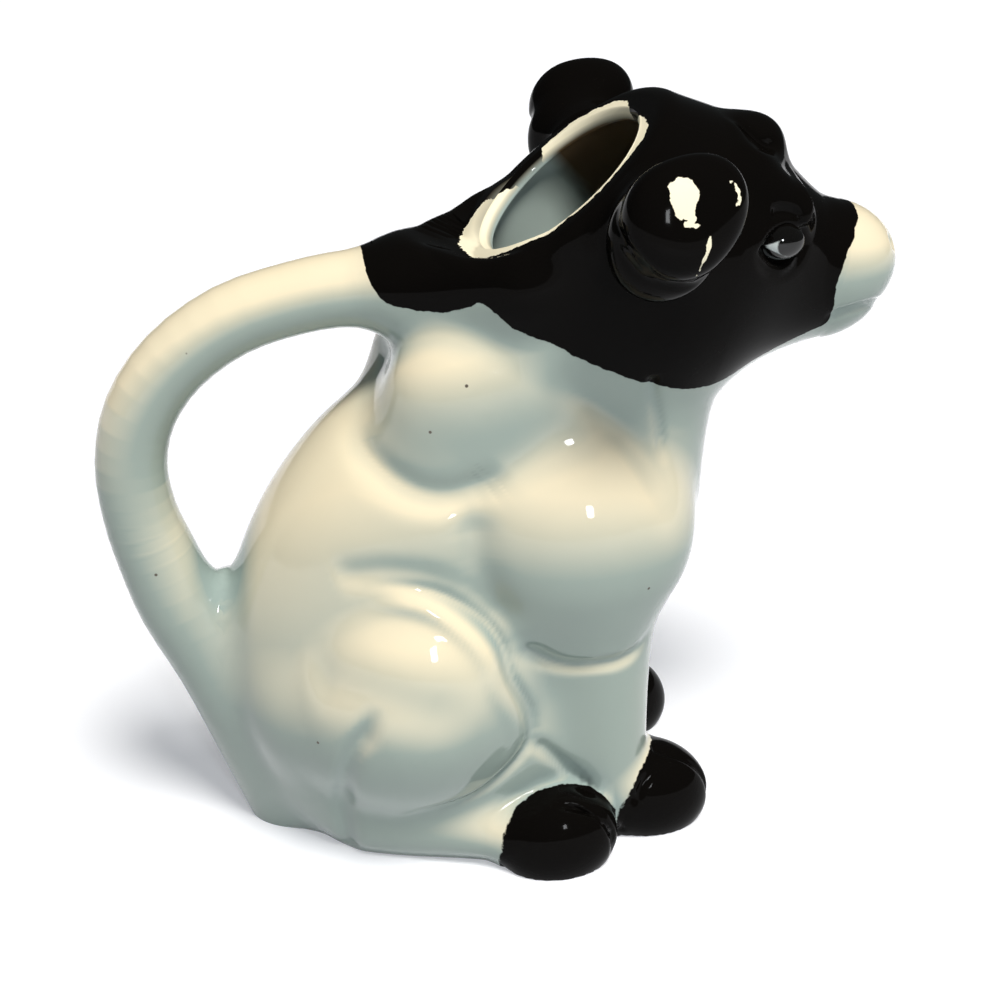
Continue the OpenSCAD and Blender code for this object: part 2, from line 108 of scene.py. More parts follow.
socket_shares = [0.321, -0.308, 0.804, 0.043, 0.075, 0.029, 0, 0.02]
nostril_shares = [0.486, -0.075, 0.775, 0.014, 0.027, 0.012, 0, 0.007]

# centre of the filling hole and the reach of the rounding round its rim
filler_place_shares = [0.068, 0, 0.863]
rim_reach_share = 0.014
rim_outer_share = 0.186
# flank of the nape, which sweeps from the handle up both sides of the rim, and how far it keeps
# from the axis of the filling hole
flank_shares = [-0.1, 0.05, 0.752, 0.005, 0.22, 0.772, 0.044, 0.047, 0.035]
flank_clear_share = 0.148
flank_round_share = 0.02
# the handle keeps clear of the rim inside this distance from the axis of the filling hole,
# with a wide fillet from the rim up to the handle and a rounded edge over that
handle_clear_share = 0.16
clear_fillet_share = 0.09
clear_round_share = 0.03

# the planes of the head fan about a line under the throat
throat_shares = [0.357, 0, 0.582]
NECK_ANGLE = 18.2
FACE_ANGLE = 106
spine_reach_shares = [0.298, 0.285, 0.262, 0.225, 0.2, 0.186, 0.178]
torso_spine_shares = [
    [-0.057, 0], [-0.05, 0.16], [-0.036, 0.32], [-0.02, 0.44], [0.015, 0.55],
]
mouth_shares = [0.482, 0, 0.686]
muzzle_core_shares = [0.407, 0, 0.721]

# centre line of the handle with its radius as a share of the slimmest one
handle_shares = [
    [-0.064, 0.739, 1.33], [-0.171, 0.744, 1.07], [-0.243, 0.736, 1], [-0.321, 0.713, 1],
    [-0.389, 0.667, 1], [-0.434, 0.607, 1], [-0.453, 0.539, 1], [-0.45, 0.471, 1.05],
    [-0.436, 0.411, 1.15], [-0.414, 0.336, 1.23], [-0.38, 0.243, 1.15], [-0.341, 0.129, 1.15],
    [-0.298, 0, 1.2],
]
handle_spine_shares = [
    [-0.125, 0.752], [-0.137, 0.749], [-0.15, 0.747], [-0.2, 0.743], [-0.243, 0.736],
    [-0.321, 0.713], [-0.389, 0.667], [-0.434, 0.607], [-0.453, 0.539], [-0.452, 0.471],
    [-0.443, 0.411], [-0.421, 0.336], [-0.39, 0.243], [-0.36, 0.136], [-0.334, 0.061],
    [-0.328, 0.029], [-0.328, 0.014], [-0.328, 0],
]
web_reach_share = 0.05

ear_shares = [0.143, -0.567, 0.884, 1, 0.125, 0.063, -15, 0]
ear_rim_shares = [0.136, -0.5, 0.853, 1, 0.1, 0.066, -10, 0.008]
ear_root_shares = [0.15, -0.25, 0.843, 0.143, -0.485, 0.865, 0.057, 0.052, 0.02]
# the ear's broad face: its distance from the leaf's middle, the way that it looks and its
# rounding
ear_face_shares = [0.036, [0.1, -0.95, 0.29], 0.03]
ear_corner_shares = [0.176, -0.54, 0.903, 0.038, 0.1, 0.04, 0, 0.03]
ear_start_shares = [0.143, -0.4, 0.857]
ear_reach_share = 0.02
fore_hoof_shares = [0.181, -0.25, 0.04, 1, 0.145, 0.075, -20, 0]
hind_hoof_shares = [0.046, -0.417, 0.034, 1, 0.117, 0.071, 10, 0]
hoof_core_share = 0.2
hoof_reach_share = 0.025
eye_shares = [0.306, -0.255, 0.809, 1, 0.043, 0.021, 0, 0]

# Lines worked into the skin: height over it and half width as shares of the height, how much
# a distance across the body counts, and the line's places.
stroke_shares = [
    # hollow over the haunch
    [-0.0043, 0.018, 0.35,
     [[-0.229, -0.3, 0.429], [-0.204, -0.328, 0.436], [-0.157, -0.36, 0.443],
      [-0.104, -0.378, 0.432], [-0.05, -0.388, 0.393], [-0.018, -0.4, 0.336]]],
    # hollow under the withers
    [-0.0086, 0.02, 0.35,
     [[-0.207, -0.2, 0.614], [-0.179, -0.25, 0.571], [-0.139, -0.285, 0.543],
      [-0.095, -0.322, 0.532], [-0.049, -0.33, 0.543], [-0.02, -0.333, 0.571]]],
    # hollow behind the shoulder
    [-0.0071, 0.0243, 0.35,
     [[-0.064, -0.333, 0.536], [-0.057, -0.358, 0.486], [-0.053, -0.38, 0.443],
      [-0.029, -0.383, 0.393], [-0.007, -0.383, 0.35]]],
    # hollow from the neck to the chest
    [-0.0071, 0.02, 0.35,
     [[0.035, -0.325, 0.688], [0.091, -0.333, 0.632], [0.135, -0.317, 0.577],
      [0.165, -0.275, 0.506], [0.182, -0.242, 0.438]]],
    # crease round the top and the front of the haunch
    [-0.0057, 0.0086, 0.35,
     [[-0.204, -0.328, 0.421], [-0.157, -0.36, 0.426], [-0.104, -0.378, 0.414],
      [-0.056, -0.388, 0.376], [-0.03, -0.4, 0.339], [-0.019, -0.413, 0.295],
      [0.007, -0.392, 0.234], [0.007, -0.393, 0.186], [-0.029, -0.412, 0.144],
      [-0.069, -0.418, 0.117], [-0.131, -0.415, 0.103], [-0.176, -0.372, 0.077]]],
    # edge of the haunch inside that crease
    [0.0043, 0.0114, 0.35,
     [[-0.2, -0.34, 0.4], [-0.155, -0.37, 0.404], [-0.11, -0.39, 0.392], [-0.07, -0.4, 0.358],
      [-0.05, -0.41, 0.325], [-0.04, -0.42, 0.29], [-0.015, -0.41, 0.232],
      [-0.014, -0.41, 0.192], [-0.042, -0.42, 0.16]]],
    # groove behind the folded shin
    [-0.0093, 0.0121, 0.35,
     [[-0.183, -0.478, 0.292], [-0.201, -0.465, 0.25], [-0.219, -0.452, 0.21],
      [-0.23, -0.363, 0.126], [-0.226, -0.297, 0.021], [-0.225, -0.297, -0.029]]],
    # hollow over that groove
    [-0.0057, 0.0357, 0.35,
     [[-0.271, -0.42, 0.307], [-0.236, -0.45, 0.304], [-0.186, -0.475, 0.3],
      [-0.121, -0.492, 0.279], [-0.057, -0.49, 0.257]]],
    # crease at the elbow
    [-0.0064, 0.0107, 0.35,
     [[-0.007, -0.383, 0.336], [0.007, -0.38, 0.32], [0.034, -0.373, 0.3],
      [0.059, -0.383, 0.293], [0.095, -0.398, 0.295], [0.125, -0.39, 0.297],
      [0.149, -0.362, 0.306], [0.171, -0.325, 0.336]]],
    # crease between foreleg and hind foot
    [-0.0057, 0.01, 0.35,
     [[0.007, -0.383, 0.193], [0.035, -0.372, 0.159], [0.072, -0.355, 0.111],
      [0.113, -0.372, 0.069]]],
    # fold down the side of the neck
    [-0.0057, 0.0068, 0.35,
     [[0.154, -0.318, 0.671], [0.156, -0.318, 0.649], [0.168, -0.295, 0.599],
      [0.175, -0.302, 0.543]]],
    # corner of the mouth
    [-0.0114, 0.0064, 1,
     [[0.386, -0.163, 0.69], [0.4, -0.162, 0.697], [0.413, -0.163, 0.701],
      [0.429, -0.157, 0.704], [0.445, -0.138, 0.704], [0.461, -0.108, 0.7],
      [0.475, -0.058, 0.693]]],
    # edge of the tuft
    [0.0064, 0.0079, 1,
     [[0.246, -0.058, 0.926], [0.258, -0.102, 0.921], [0.261, -0.155, 0.911],
      [0.266, -0.2, 0.904], [0.281, -0.203, 0.896], [0.304, -0.147, 0.886],
      [0.318, -0.098, 0.886], [0.325, -0.058, 0.886]]],
    # hollow inside the tuft
    [-0.0064, 0.0086, 1,
     [[0.261, -0.043, 0.924], [0.279, -0.09, 0.915], [0.291, -0.107, 0.905],
      [0.306, -0.097, 0.9], [0.318, -0.06, 0.9]]],
    # brow
    [0.0064, 0.0079, 1,
     [[0.323, -0.075, 0.876], [0.328, -0.117, 0.867], [0.331, -0.198, 0.856],
      [0.336, -0.22, 0.845], [0.334, -0.237, 0.831], [0.331, -0.24, 0.821]]],
    # upper eyelid
    [0.005, 0.006, 1,
     [[0.261, -0.31, 0.807], [0.27, -0.305, 0.816], [0.282, -0.282, 0.824],
      [0.296, -0.262, 0.829], [0.31, -0.25, 0.831], [0.323, -0.238, 0.824],
      [0.333, -0.227, 0.811]]],
    # fold over the eyelid
    [-0.0035, 0.0057, 1,
     [[0.286, -0.27, 0.843], [0.298, -0.258, 0.845], [0.318, -0.245, 0.841],
      [0.334, -0.237, 0.831]]],
    # lower eyelid
    [0.0043, 0.006, 1,
     [[0.264, -0.307, 0.807], [0.276, -0.297, 0.794], [0.293, -0.28, 0.783],
      [0.307, -0.267, 0.779], [0.321, -0.247, 0.784], [0.333, -0.227, 0.8]]],
    # cleft of the hind hoof
    [-0.0071, 0.0057, 1,
     [[0.029, -0.45, 0.1], [0.064, -0.46, 0.093], [0.096, -0.467, 0.068], [0.114, -0.467, 0.036],
      [0.12, -0.467, -0.014]]],
    # cleft of the fore hoof
    [-0.0071, 0.0057, 1,
     [[0.171, -0.283, 0.118], [0.214, -0.283, 0.104], [0.25, -0.283, 0.071],
      [0.264, -0.283, 0.036], [0.266, -0.283, -0.014]]],
    # side of the fore hoof
    [-0.0043, 0.005, 1,
     [[0.182, -0.333, 0.104], [0.159, -0.37, 0.08], [0.14, -0.368, 0.04], [0.137, -0.367, 0.007]]],
    # fold of the ear
    [-0.0064, 0.0064, 1,
     [[0.081, -0.5, 0.886], [0.085, -0.595, 0.862], [0.101, -0.622, 0.84], [0.126, -0.605, 0.82],
      [0.151, -0.583, 0.812], [0.175, -0.55, 0.811]]],
]

# edge of the black glaze seen from the side, from the handle round the throat to the snout
black_edge_shares = [
    [-0.166, 0.829], [-0.163, 0.785], [-0.161, 0.771], [-0.149, 0.751], [-0.13, 0.742],
    [-0.081, 0.742], [-0.054, 0.754], [-0.044, 0.761], [-0.025, 0.746], [-0.004, 0.73],
    [0.024, 0.717], [0.051, 0.705], [0.082, 0.686], [0.116, 0.669], [0.146, 0.657], [0.204, 0.64],
    [0.24, 0.636], [0.274, 0.643], [0.329, 0.661], [0.386, 0.684], [0.395, 0.71], [0.391, 0.734],
    [0.396, 0.754], [0.407, 0.78], [0.419, 0.799], [0.429, 0.809], [0.436, 0.843],
]
# the same edge is closed high over the head
black_close_shares = [[0.436, 1.2], [-0.166, 1.2]]

# the worn band round the rim: how far it reaches out from the edge of the hole, at equal
# steps round it from the poll
rim_wear_shares = [-0.2, 0.15, 0.16, 0.08, -0.2, 0.02, 0.24, 0.3, 0.26, 0.2, 0.07, 0.05, 0.1, 0.18]

# outline of the chip in the right ear: X, and Y and Z added, as shares of the height
chip_shares = [
    [0.134, 0.671], [0.146, 0.668], [0.154, 0.654], [0.153, 0.639], [0.147, 0.629],
    [0.139, 0.622], [0.134, 0.615], [0.128, 0.623], [0.123, 0.642], [0.123, 0.662],
]

# pale lines on the right ear, painted highlights along its front edge and scratches under the
# chip: half width, and places along X and Z, as shares of the height
glint_and_scratch_shares = [
    # front edge, painted highlights
    [0.0025, [[0.192, 0.925], [0.2, 0.914], [0.198, 0.903]]],
    [0.0015, [[0.166, 0.876], [0.163, 0.861], [0.158, 0.848], [0.156, 0.836]]],
    # scratches under the chip
    [0.0009, [[0.136, 0.905], [0.146, 0.901]]],
    [0.0007, [[0.135, 0.898], [0.148, 0.895]]],
    [0.0009, [[0.139, 0.892], [0.15, 0.888]]],
]

# how finely the skins are divided
HALF_TURNS = 120
TORSO_RINGS = 200
TORSO_INNER_RINGS = 44
NECK_RINGS = 26
HOLE_RINGS = 56
FACE_RINGS = 168
FACE_INNER_STEP = 4
MUZZLE_RINGS = 64
MUZZLE_INNER_RINGS = 16
FOOT_STEPS = 6
HANDLE_PIECES = 36
HANDLE_RINGS = 300
HANDLE_TURNS = 96
EAR_RINGS = 40
EAR_TURNS = 120
CAP_RINGS = 28
HOOF_BANDS = 72
HOOF_TURNS = 96
EYE_BANDS = 40
EYE_TURNS = 48
LIP_TURNS = 288
# a ray takes this many steps at most, and stops this near the skin
WALK_STEPS = 60
CLOSE_ENOUGH = 0.0005 * MM
# points on a stroke's line and on the black edge for each place that is given
STROKE_STEPS = 3
EDGE_STEPS = 4
# a stroke fades in over this share of its length at either end, and over this height from the
# ground up, and it is felt as far off its line as this many of its widths
STROKE_FADE = 0.25
STROKE_FLOOR = 1.5 * MM
STROKE_REACH = 3
# The skin rises to meet each piece that grows out of it, up to this share of the blend's
# reach. The piece's own skin lies this far under the risen one, keeps within the second share
# of the reach from the piece's own form, and goes on into the wall for a share of the wall.
ROOT_TOP_SHARE = 0.42
ROOT_SPREAD_SHARE = 0.31
ROOT_DEPTH_SHARE = 0.6
INSET = 0.03 * MM
# painted shade: the cream stays warm on what faces up, and turns to a darker, cooler colour where
# the slope of the skin, told by the upward part of its normal, is past the first of these by the
# second
STEEP_FROM = 0.5
STEEP_SPAN = 0.52
# how far off the skin the glaze looks to tell how hollow a place is, and how much each counts;
# hollows take pooled glaze with painted shade
HOLLOW_REACHES = [(2.5 * MM, 0.4), (7 * MM, 0.6)]
# a place of the foot lies in the ground or in the recess where it is this near, as a share
FOOT_TOUCH = 0.001
# how strongly normals turn down round the foot's edge
FOOT_LEAN = 1.5
# a spine's direction is told over this share of a ring's step to both sides
RUN_STEP = 0.25
# how far an eye goes on under the skin of its socket
UNDER_SKIN = 0.35 * MM
# the steps over which the slope of the skin and of an eye are told
SLOPE_STEP = 0.2 * MM
EYE_STEP = 0.1 * MM
# a place is on the inner skin where it lies deeper than this share of the wall, and lower under
# the rim than this share of the lip
INNER_DEPTH_SHARE = 0.6
INNER_DROP_SHARE = 0.5
# the glaze of the inside, painted darker and cooler than the cream as shade, comes in with the drop
# under the rim, told in shares of the lip: that drop times the first of these, less the second
INNER_GLAZE_GAIN = 1.5
INNER_GLAZE_START = 0.6
# a painted brown shadow comes over the inside across this many reaches of the rim's rounding, from
# the middle forward
SHADOW_REACHES = 1.5
# strokes that move the skin by less than this leave it as it is
LEAST_STROKE = 0.005 * MM
# the worn band keeps within this many reaches of the rim's rounding from the rim's plane
RIM_FACE_REACHES = 2
# what a place away from the right ear has for its millimetres inside the chip
FAR_FROM_CHIP = -9
# no vector is told to be shorter than this when it is brought to the length of one
LEAST_LENGTH = 1e-12

# Profile of the rounded lip. Each place is told from the clear edge of the hole, or from the
# outer edge of the bevel where its first number is 1; out and up are shares of the lip.
lip_shares = [
    [1, 0.3, -0.16], [1, 0.06, 0.03], [1, -0.16, -0.08], [0, 0.05, -0.42], [0, -0.1, -0.85],
    [0, -0.08, -1.25], [0, 0.2, -1.35], [1, 0.12, -0.9], [1, 0.36, -0.45],
]
LIP_STEPS = 8

# Marks of the eye, in its half length forward and its half height up. The white is a wedge that
# opens forward from its corner, and ends at the iris and at its front.
WHITE_CORNER = -0.9
WHITE_LOW = -0.05
WHITE_SLOPE = 0.62
WHITE_FRONT = 0.1
IRIS_AT = 0.12
IRIS_FLAT = 0.8
IRIS_R = 0.5
# the lower lid is a thin band along an oval, under its top and behind its front
LID_HALF_W = 0.07
LID_FLAT = 0.9
LID_R = 0.86
LID_TOP = -0.25
LID_FRONT = 0.45


def sized(row, sizes, length=0.0):
    """A row of shares as sizes in metres: a lobe keeps a pitch, a limb a pair of radii."""
    h, w = sizes.figure_h, sizes.figure_w
    if len(row) == 8:
        reach_x = length / 2 if length else row[3] * h
        return ([row[0] * h, row[1] * w, row[2] * h], [reach_x, row[4] * w, row[5] * h],
                np.radians(row[6]), row[7] * h)
    return ([row[0] * h, row[1] * w, row[2] * h], [row[3] * h, row[4] * w, row[5] * h],
            [row[6] * h, row[7] * h], row[8] * h)


def lobe(p, form):
    """Signed distance from a turned ellipsoid, true near its skin: with k the length of the
    place divided by the half sizes and m the same divided twice, it is k (k - 1) / m."""
    at, half, pitch, _ = form
    q = p - at
    x = q[:, 0] * np.cos(pitch) + q[:, 2] * np.sin(pitch)
    z = q[:, 2] * np.cos(pitch) - q[:, 0] * np.sin(pitch)
    u, v, w = x / half[0], q[:, 1] / half[1], z / half[2]
    k = np.sqrt(u * u + v * v + w * w)
    m = np.sqrt((u / half[0]) ** 2 + (v / half[1]) ** 2 + (w / half[2]) ** 2)
    return np.where(m > 0, k * (k - 1) / np.maximum(m, 1), -min(half))


def limb(p, form):
    """Signed distance from a round bar between two ends, less a radius that runs from the
    first to the second."""
    start, end, radii, _ = form
    along = np.subtract(end, start)
    q = p - start
    h = np.clip(q @ along / (along @ along), 0, 1)
    away = q - h[:, None] * along
    return np.sqrt((away * away).sum(1)) - radii[0] - h * (radii[1] - radii[0])


def one_form(p, form):
    """Signed distance from a lobe or a limb."""
    return limb(p, form) if isinstance(form[2], list) else lobe(p, form)


def blend(a, b, reach):
    """Union of two distances, rounded where they differ by less than the reach: the lesser,
    less the square of what is left of the reach over four times the reach."""
    left = np.maximum(reach - np.abs(a - b), 0)
    return np.minimum(a, b) - (left * left / (4 * reach) if reach > 0 else 0)


def carve(a, b, reach):
    """A cut of the first distance by the second, rounded over the reach."""
    return -blend(-a, b, reach)


def mirrored(p):
    """Places reflected in the plane Y = 0."""
    return p * np.array([1.0, -1.0, 1.0])


def folded(p):
    """Places on the left side reflected to the right."""
    near = p.copy()
    near[:, 1] = -np.abs(p[:, 1])
    return near


def unit(v):
    """Vectors brought to the length of one."""
    return v / np.maximum(np.linalg.norm(v, axis=-1), LEAST_LENGTH)[..., None]


def spline(points, t):
    """Smooth curve through the points: on each stretch the cubic whose slope at an end is
    half the step between that end's neighbours."""
    points = np.asarray(points, float)
    if points.ndim == 1:
        points = points[:, None]
    last = len(points) - 1
    t = np.clip(np.asarray(t, float), 0, 1)
    i = np.minimum((t * last).astype(int), last - 1)
    s = (t * last - i)[..., None]
    padded = np.vstack([2 * points[0] - points[1], points, 2 * points[-1] - points[-2]])
    a, b, c, d = (padded[i + k] for k in range(4))
    curve = 2 * b + (c - a) * s + (2 * a - 5 * b + 4 * c - d) * s ** 2
    return (curve + (3 * b - 3 * c + d - a) * s ** 3) / 2


def walk(field, start, direction):
    """Distance from each start to the field's surface along its direction: each step moves on
    by the field's own value, and only the places not yet there take part."""
    start = np.broadcast_to(start, direction.shape).reshape(-1, 3)
    flat = direction.reshape(-1, 3)
    reach = np.zeros(len(flat))
    live = np.arange(len(flat))
    for _ in range(WALK_STEPS):
        d = field(start[live] + reach[live, None] * flat[live])
        reach[live] = np.maximum(reach[live] - d, 0)
        live = live[np.abs(d) > CLOSE_ENOUGH]
        if not len(live):
            break
    return (start + reach[:, None] * flat).reshape(direction.shape)


def slope(field, p, step=SLOPE_STEP):
    """The direction in which a field rises fastest, from its values one step ahead and one
    step behind on each axis."""
    return unit(np.stack([field(p + o) - field(p - o) for o in np.eye(3) * step], 1))


class Figure:
    """The jug as distance fields, worked out from the user's sizes."""

    def __init__(self, sizes):
        self.sizes = sizes
        h, w = sizes.figure_h, sizes.figure_w
        self.h, self.w = h, w
        self.body = [sized(row, sizes) for row in body_shares]
        self.head = [sized(row, sizes) for row in head_shares]
        self.snout = [sized(row, sizes) for row in snout_shares]
        self.socket = sized(socket_shares, sizes)
        self.nostril = sized(nostril_shares, sizes)
        self.flank = sized(flank_shares, sizes)
        self.rim_reach = rim_reach_share * h
        self.filler_at = self.placed(filler_place_shares)
        tilt = sizes.filler_tilt
        self.filler_out = np.array([-np.sin(tilt), 0, np.cos(tilt)])
        self.filler_up = np.array([np.cos(tilt), 0, np.sin(tilt)])
        self.filler_r = sizes.filler_d / 2
        self.hole_r = self.filler_r + sizes.lip_w
        self.throat = self.placed(throat_shares)
        line = spline(handle_shares, np.linspace(0, 1, HANDLE_PIECES + 1))
        places = [[x * h, 0, z * h] for x, z in line[:, :2]]
        radii = line[:, 2] * sizes.handle_d / 2
        self.bars = [(places[i], places[i + 1], [radii[i], radii[i + 1]], 0)
                     for i in range(HANDLE_PIECES)]
        self.web_reach = web_reach_share * h
        self.ear = sized(ear_shares, sizes, sizes.ear_l)
        self.ear_rim = sized(ear_rim_shares, sizes, sizes.ear_l)
        self.ear_root = sized(ear_root_shares, sizes)
        self.ear_corner = sized(ear_corner_shares, sizes)
        self.ear_reach = ear_reach_share * h
        self.fore_hoof = sized(fore_hoof_shares, sizes, sizes.fore_hoof_l)
        self.hind_hoof = sized(hind_hoof_shares, sizes, sizes.hind_hoof_l)
        self.hoof_reach = hoof_reach_share * h
        self.eye = sized(eye_shares, sizes, sizes.eye_l)
        self.strokes = [(row[0] * h, row[1] * h, row[2], self.smooth_line(row[3]))
                        for row in stroke_shares]

    def smooth_line(self, shares):
        """A smooth line through places given in shares."""
        places = np.array([self.placed(place) for place in shares])
        return spline(places, np.linspace(0, 1, STROKE_STEPS * len(shares)))

    def placed(self, shares):
        """A place given in shares, in metres."""
        return np.array([shares[0] * self.h, shares[1] * self.w, shares[2] * self.h])

    def in_plane(self, shares):
        """Places in the plane Y = 0 from shares of the height along X and Z."""
        shares = np.asarray(shares, float)
        return np.stack([shares[..., 0] * self.h, 0 * shares[..., 0], shares[..., 1] * self.h], -1)

    def both(self, p, form):
        """A form, with its reflection where it lies to one side."""
        if form[0][1] == 0:
            return one_form(p, form)
        return blend(one_form(p, form), one_form(mirrored(p), form), self.rim_reach)

    def solid(self, p):
        """The whole animal before its rim is cut."""
        d = np.full(len(p), self.h)
        for form in self.body + self.head:
            d = blend(d, self.both(p, form), form[3])
        d = carve(d, self.both(p, self.socket), self.socket[3])
        for form in self.snout:
            d = blend(d, self.both(p, form), form[3])
        return carve(d, self.both(p, self.nostril), self.nostril[3])

    def above_rim(self, p):
        """Height over the plane of the rim."""
        return (p - self.filler_at) @ self.filler_out

    def off_filler_axis(self, p):
        """The way out to each place, square to the axis of the filling hole."""
        q = p - self.filler_at
        return q - (q @ self.filler_out)[:, None] * self.filler_out

    def from_filler_axis(self, p):
        """Distance from the axis of the filling hole."""
        return np.linalg.norm(self.off_filler_axis(p), axis=1)

    def rim_cut(self, p, radius):
        """The space over the rim, negative inside it."""
        return -np.minimum(self.above_rim(p), radius - self.from_filler_axis(p))

    def skin(self, p):
        """The jug's outer skin, with its rim cut flat and the flanks of the nape round it."""
        body = carve(self.solid(p), self.rim_cut(p, rim_outer_share * self.h), self.rim_reach)
        flank = carve(self.both(p, self.flank), self.rim_cut(p, flank_clear_share * self.h),
                      flank_round_share * self.h)
        return blend(body, flank, self.flank[3])

    def cavity(self, p):
        """The space inside the wall."""
        return np.maximum(self.solid(p) + self.sizes.wall, self.above_rim(p) + self.sizes.lip_t)

    def bar(self, p):
        """The handle's round bar."""
        d = limb(p, self.bars[0])
        for bar in self.bars[1:]:
            d = np.minimum(d, limb(p, bar))
        return d

    def parts(self, p):
        """What grows out of the skin, with the reach of each blend: the handle's bar, the
        ears and the hooves."""
        near = folded(p)
        return [(self.bar(p), self.web_reach), (self.one_ear(near), self.ear_reach),
                (lobe(near, self.fore_hoof), self.hoof_reach),
                (lobe(near, self.hind_hoof), self.hoof_reach)]

    def joined(self, p, skin, part, reach):
        """A part blended with the skin and then cut clear of the rim, in a sweep."""
        aside = handle_clear_share * self.h - self.from_filler_axis(p)
        over = -blend(self.above_rim(p), aside, clear_fillet_share * self.h)
        return carve(blend(skin, part, reach), over, clear_round_share * self.h)

    def rooted_skin(self, p):
        """The outer skin risen to meet the handle, the ears and the hooves: each blend, but no
        higher over the bare skin than its root's top."""
        skin = self.skin(p)
        risen = skin
        for part, reach in self.parts(p):
            root = np.maximum(self.joined(p, skin, part, reach), skin - ROOT_TOP_SHARE * reach)
            risen = np.minimum(risen, root)
        return risen

    def grown_part(self, p, part, reach):
        """A part blended with the skin, from just under the root that the skin makes for it."""
        skin = self.skin(p)
        return np.maximum.reduce([
            self.joined(p, skin, part, reach) + INSET, part - ROOT_SPREAD_SHARE * reach,
            -ROOT_DEPTH_SHARE * self.sizes.wall - skin])

    def handle(self, p):
        """The handle, out of its roots on the nape and down the rump."""
        return self.grown_part(p, self.bar(p), self.web_reach)

    def one_ear(self, p):
        """The leaf of the right ear with its folded rim and its root."""
        leaf = blend(lobe(p, self.ear), lobe(p, self.ear_corner), self.ear_corner[3])
        leaf = blend(leaf, lobe(p, self.ear_rim), self.ear_rim[3])
        distance, facing, reach = ear_face_shares
        within = distance * self.h - (p - self.ear[0]) @ facing
        leaf = carve(leaf, within, reach * self.h)
        return blend(leaf, limb(p, self.ear_root), self.ear_root[3])

    def right_ear(self, p):
        """The right ear, out of its root on the skull."""
        return self.grown_part(p, self.one_ear(p), self.ear_reach)

    def hoof(self, p, form):
        """A hoof, out of its root on the foot and flat where it stands."""
        return np.maximum(self.grown_part(p, lobe(p, form), self.hoof_reach), -p[:, 2])

    def eyeball(self, p):
        """An eye, going on just under the skin of its socket."""
        return np.maximum(lobe(p, self.eye), -UNDER_SKIN - self.skin(p))

    def everything(self, p):
        """All that shows from outside, blended as it was modelled, for normals and glaze."""
        skin = self.skin(p)
        whole = skin
        for part, reach in self.parts(p):
            whole = np.minimum(whole, self.joined(p, skin, part, reach))
        return whole

    def relief(self, p):
        """Height of the strokes over the plain skin: each falls off from its line like a bell
        curve, and fades out towards its ends and the ground."""
        near = folded(p)
        total = np.zeros(len(p))
        for raised, width, across, line in self.strokes:
            scale = np.array([1, across, 1])
            q, run = near * scale, line * scale
            far = STROKE_REACH * width
            close = np.all((q > run.min(0) - far) & (q < run.max(0) + far), axis=1)
            if close.any():
                away, share = along_line(q[close], run)
                fade = np.clip(np.minimum(share, 1 - share) / STROKE_FADE, 0, 1)
                fade = fade * fade * (3 - 2 * fade)
                total[close] += raised * fade * np.exp(-(away / width) ** 2)
        return total * np.clip(p[:, 2] / STROKE_FLOOR, 0, 1)

    def worked(self, p):
        """All that shows from outside, with the strokes."""
        return self.everything(p) - self.relief(p)

    def lies_inside(self, p):
        """Whether a place is on the inner skin, not on the outer one or on the rim."""
        deep = -self.solid(p) > INNER_DEPTH_SHARE * self.sizes.wall
        return deep & (self.above_rim(p) < -INNER_DROP_SHARE * self.sizes.lip_t)

    def pressed(self, p):
        """Places on the outer skin moved along its normal by the strokes."""
        moved = self.relief(p)
        chosen = np.flatnonzero((np.abs(moved) > LEAST_STROKE) & ~self.lies_inside(p))
        p = p.copy()
        p[chosen] += slope(self.everything, p[chosen]) * moved[chosen, None]
        return p

    def black_edge(self, p):
        """Millimetres inside the edge of the black glaze: over the head the distance from the
        outline that its edge makes seen from the side, and on the hooves from their lobes."""
        outline = spline(black_edge_shares,
                         np.linspace(0, 1, EDGE_STEPS * len(black_edge_shares)))
        outline = np.vstack([outline, black_close_shares]) * self.h
        head = inside_outline(p[:, [0, 2]], outline)
        near = folded(p)
        fore = -lobe(near, self.fore_hoof) + self.sizes.hoof_paint
        hind = -lobe(near, self.hind_hoof) + self.sizes.hoof_paint
        return np.maximum.reduce([head, fore, hind]) / MM

    def rim_wear(self, p):
        """Millimetres inside the worn band round the rim: its outer edge lies at a radius that
        runs smoothly round the hole, and it keeps to the face of the rim."""
        q = p - self.filler_at
        angle = np.arctan2(q[:, 1], q @ self.filler_up) / (2 * np.pi) % 1
        closed = rim_wear_shares + rim_wear_shares[:1]
        band = spline(closed, angle)[:, 0] * (rim_outer_share * self.h - self.hole_r)
        outside = self.hole_r + band - self.from_filler_axis(p)
        face = RIM_FACE_REACHES * self.rim_reach - np.abs(self.above_rim(p))
        return np.minimum(outside, face) / MM

    def ear_chip_and_glint(self, p):
        """Millimetres inside the chip, the scratches and the painted highlights of the right ear.
        """
        flat = np.stack([p[:, 0], p[:, 1] + p[:, 2]], 1)
        worn = inside_outline(flat, np.array(chip_shares) * self.h)
        for half, line in glint_and_scratch_shares:
            away, _ = along_line(p[:, [0, 2]], np.array(line) * self.h)
            worn = np.maximum(worn, half * self.h - away)
        return np.where(p[:, 1] < self.ear_root[1][1], worn / MM, FAR_FROM_CHIP)


def along_line(q, line):
    """Distance of places from a line of points, and the share of the line's steps at which
    each is nearest to it."""
    nearest, share = np.full(len(q), np.inf), np.zeros(len(q))
    for i, (a, b) in enumerate(zip(line[:-1], line[1:])):
        t = np.clip((q - a) @ (b - a) / ((b - a) @ (b - a)), 0, 1)
        away = np.linalg.norm(q - a - t[:, None] * (b - a), axis=1)
        share = np.where(away < nearest, (i + t) / (len(line) - 1), share)
        nearest = np.minimum(nearest, away)
    return nearest, share


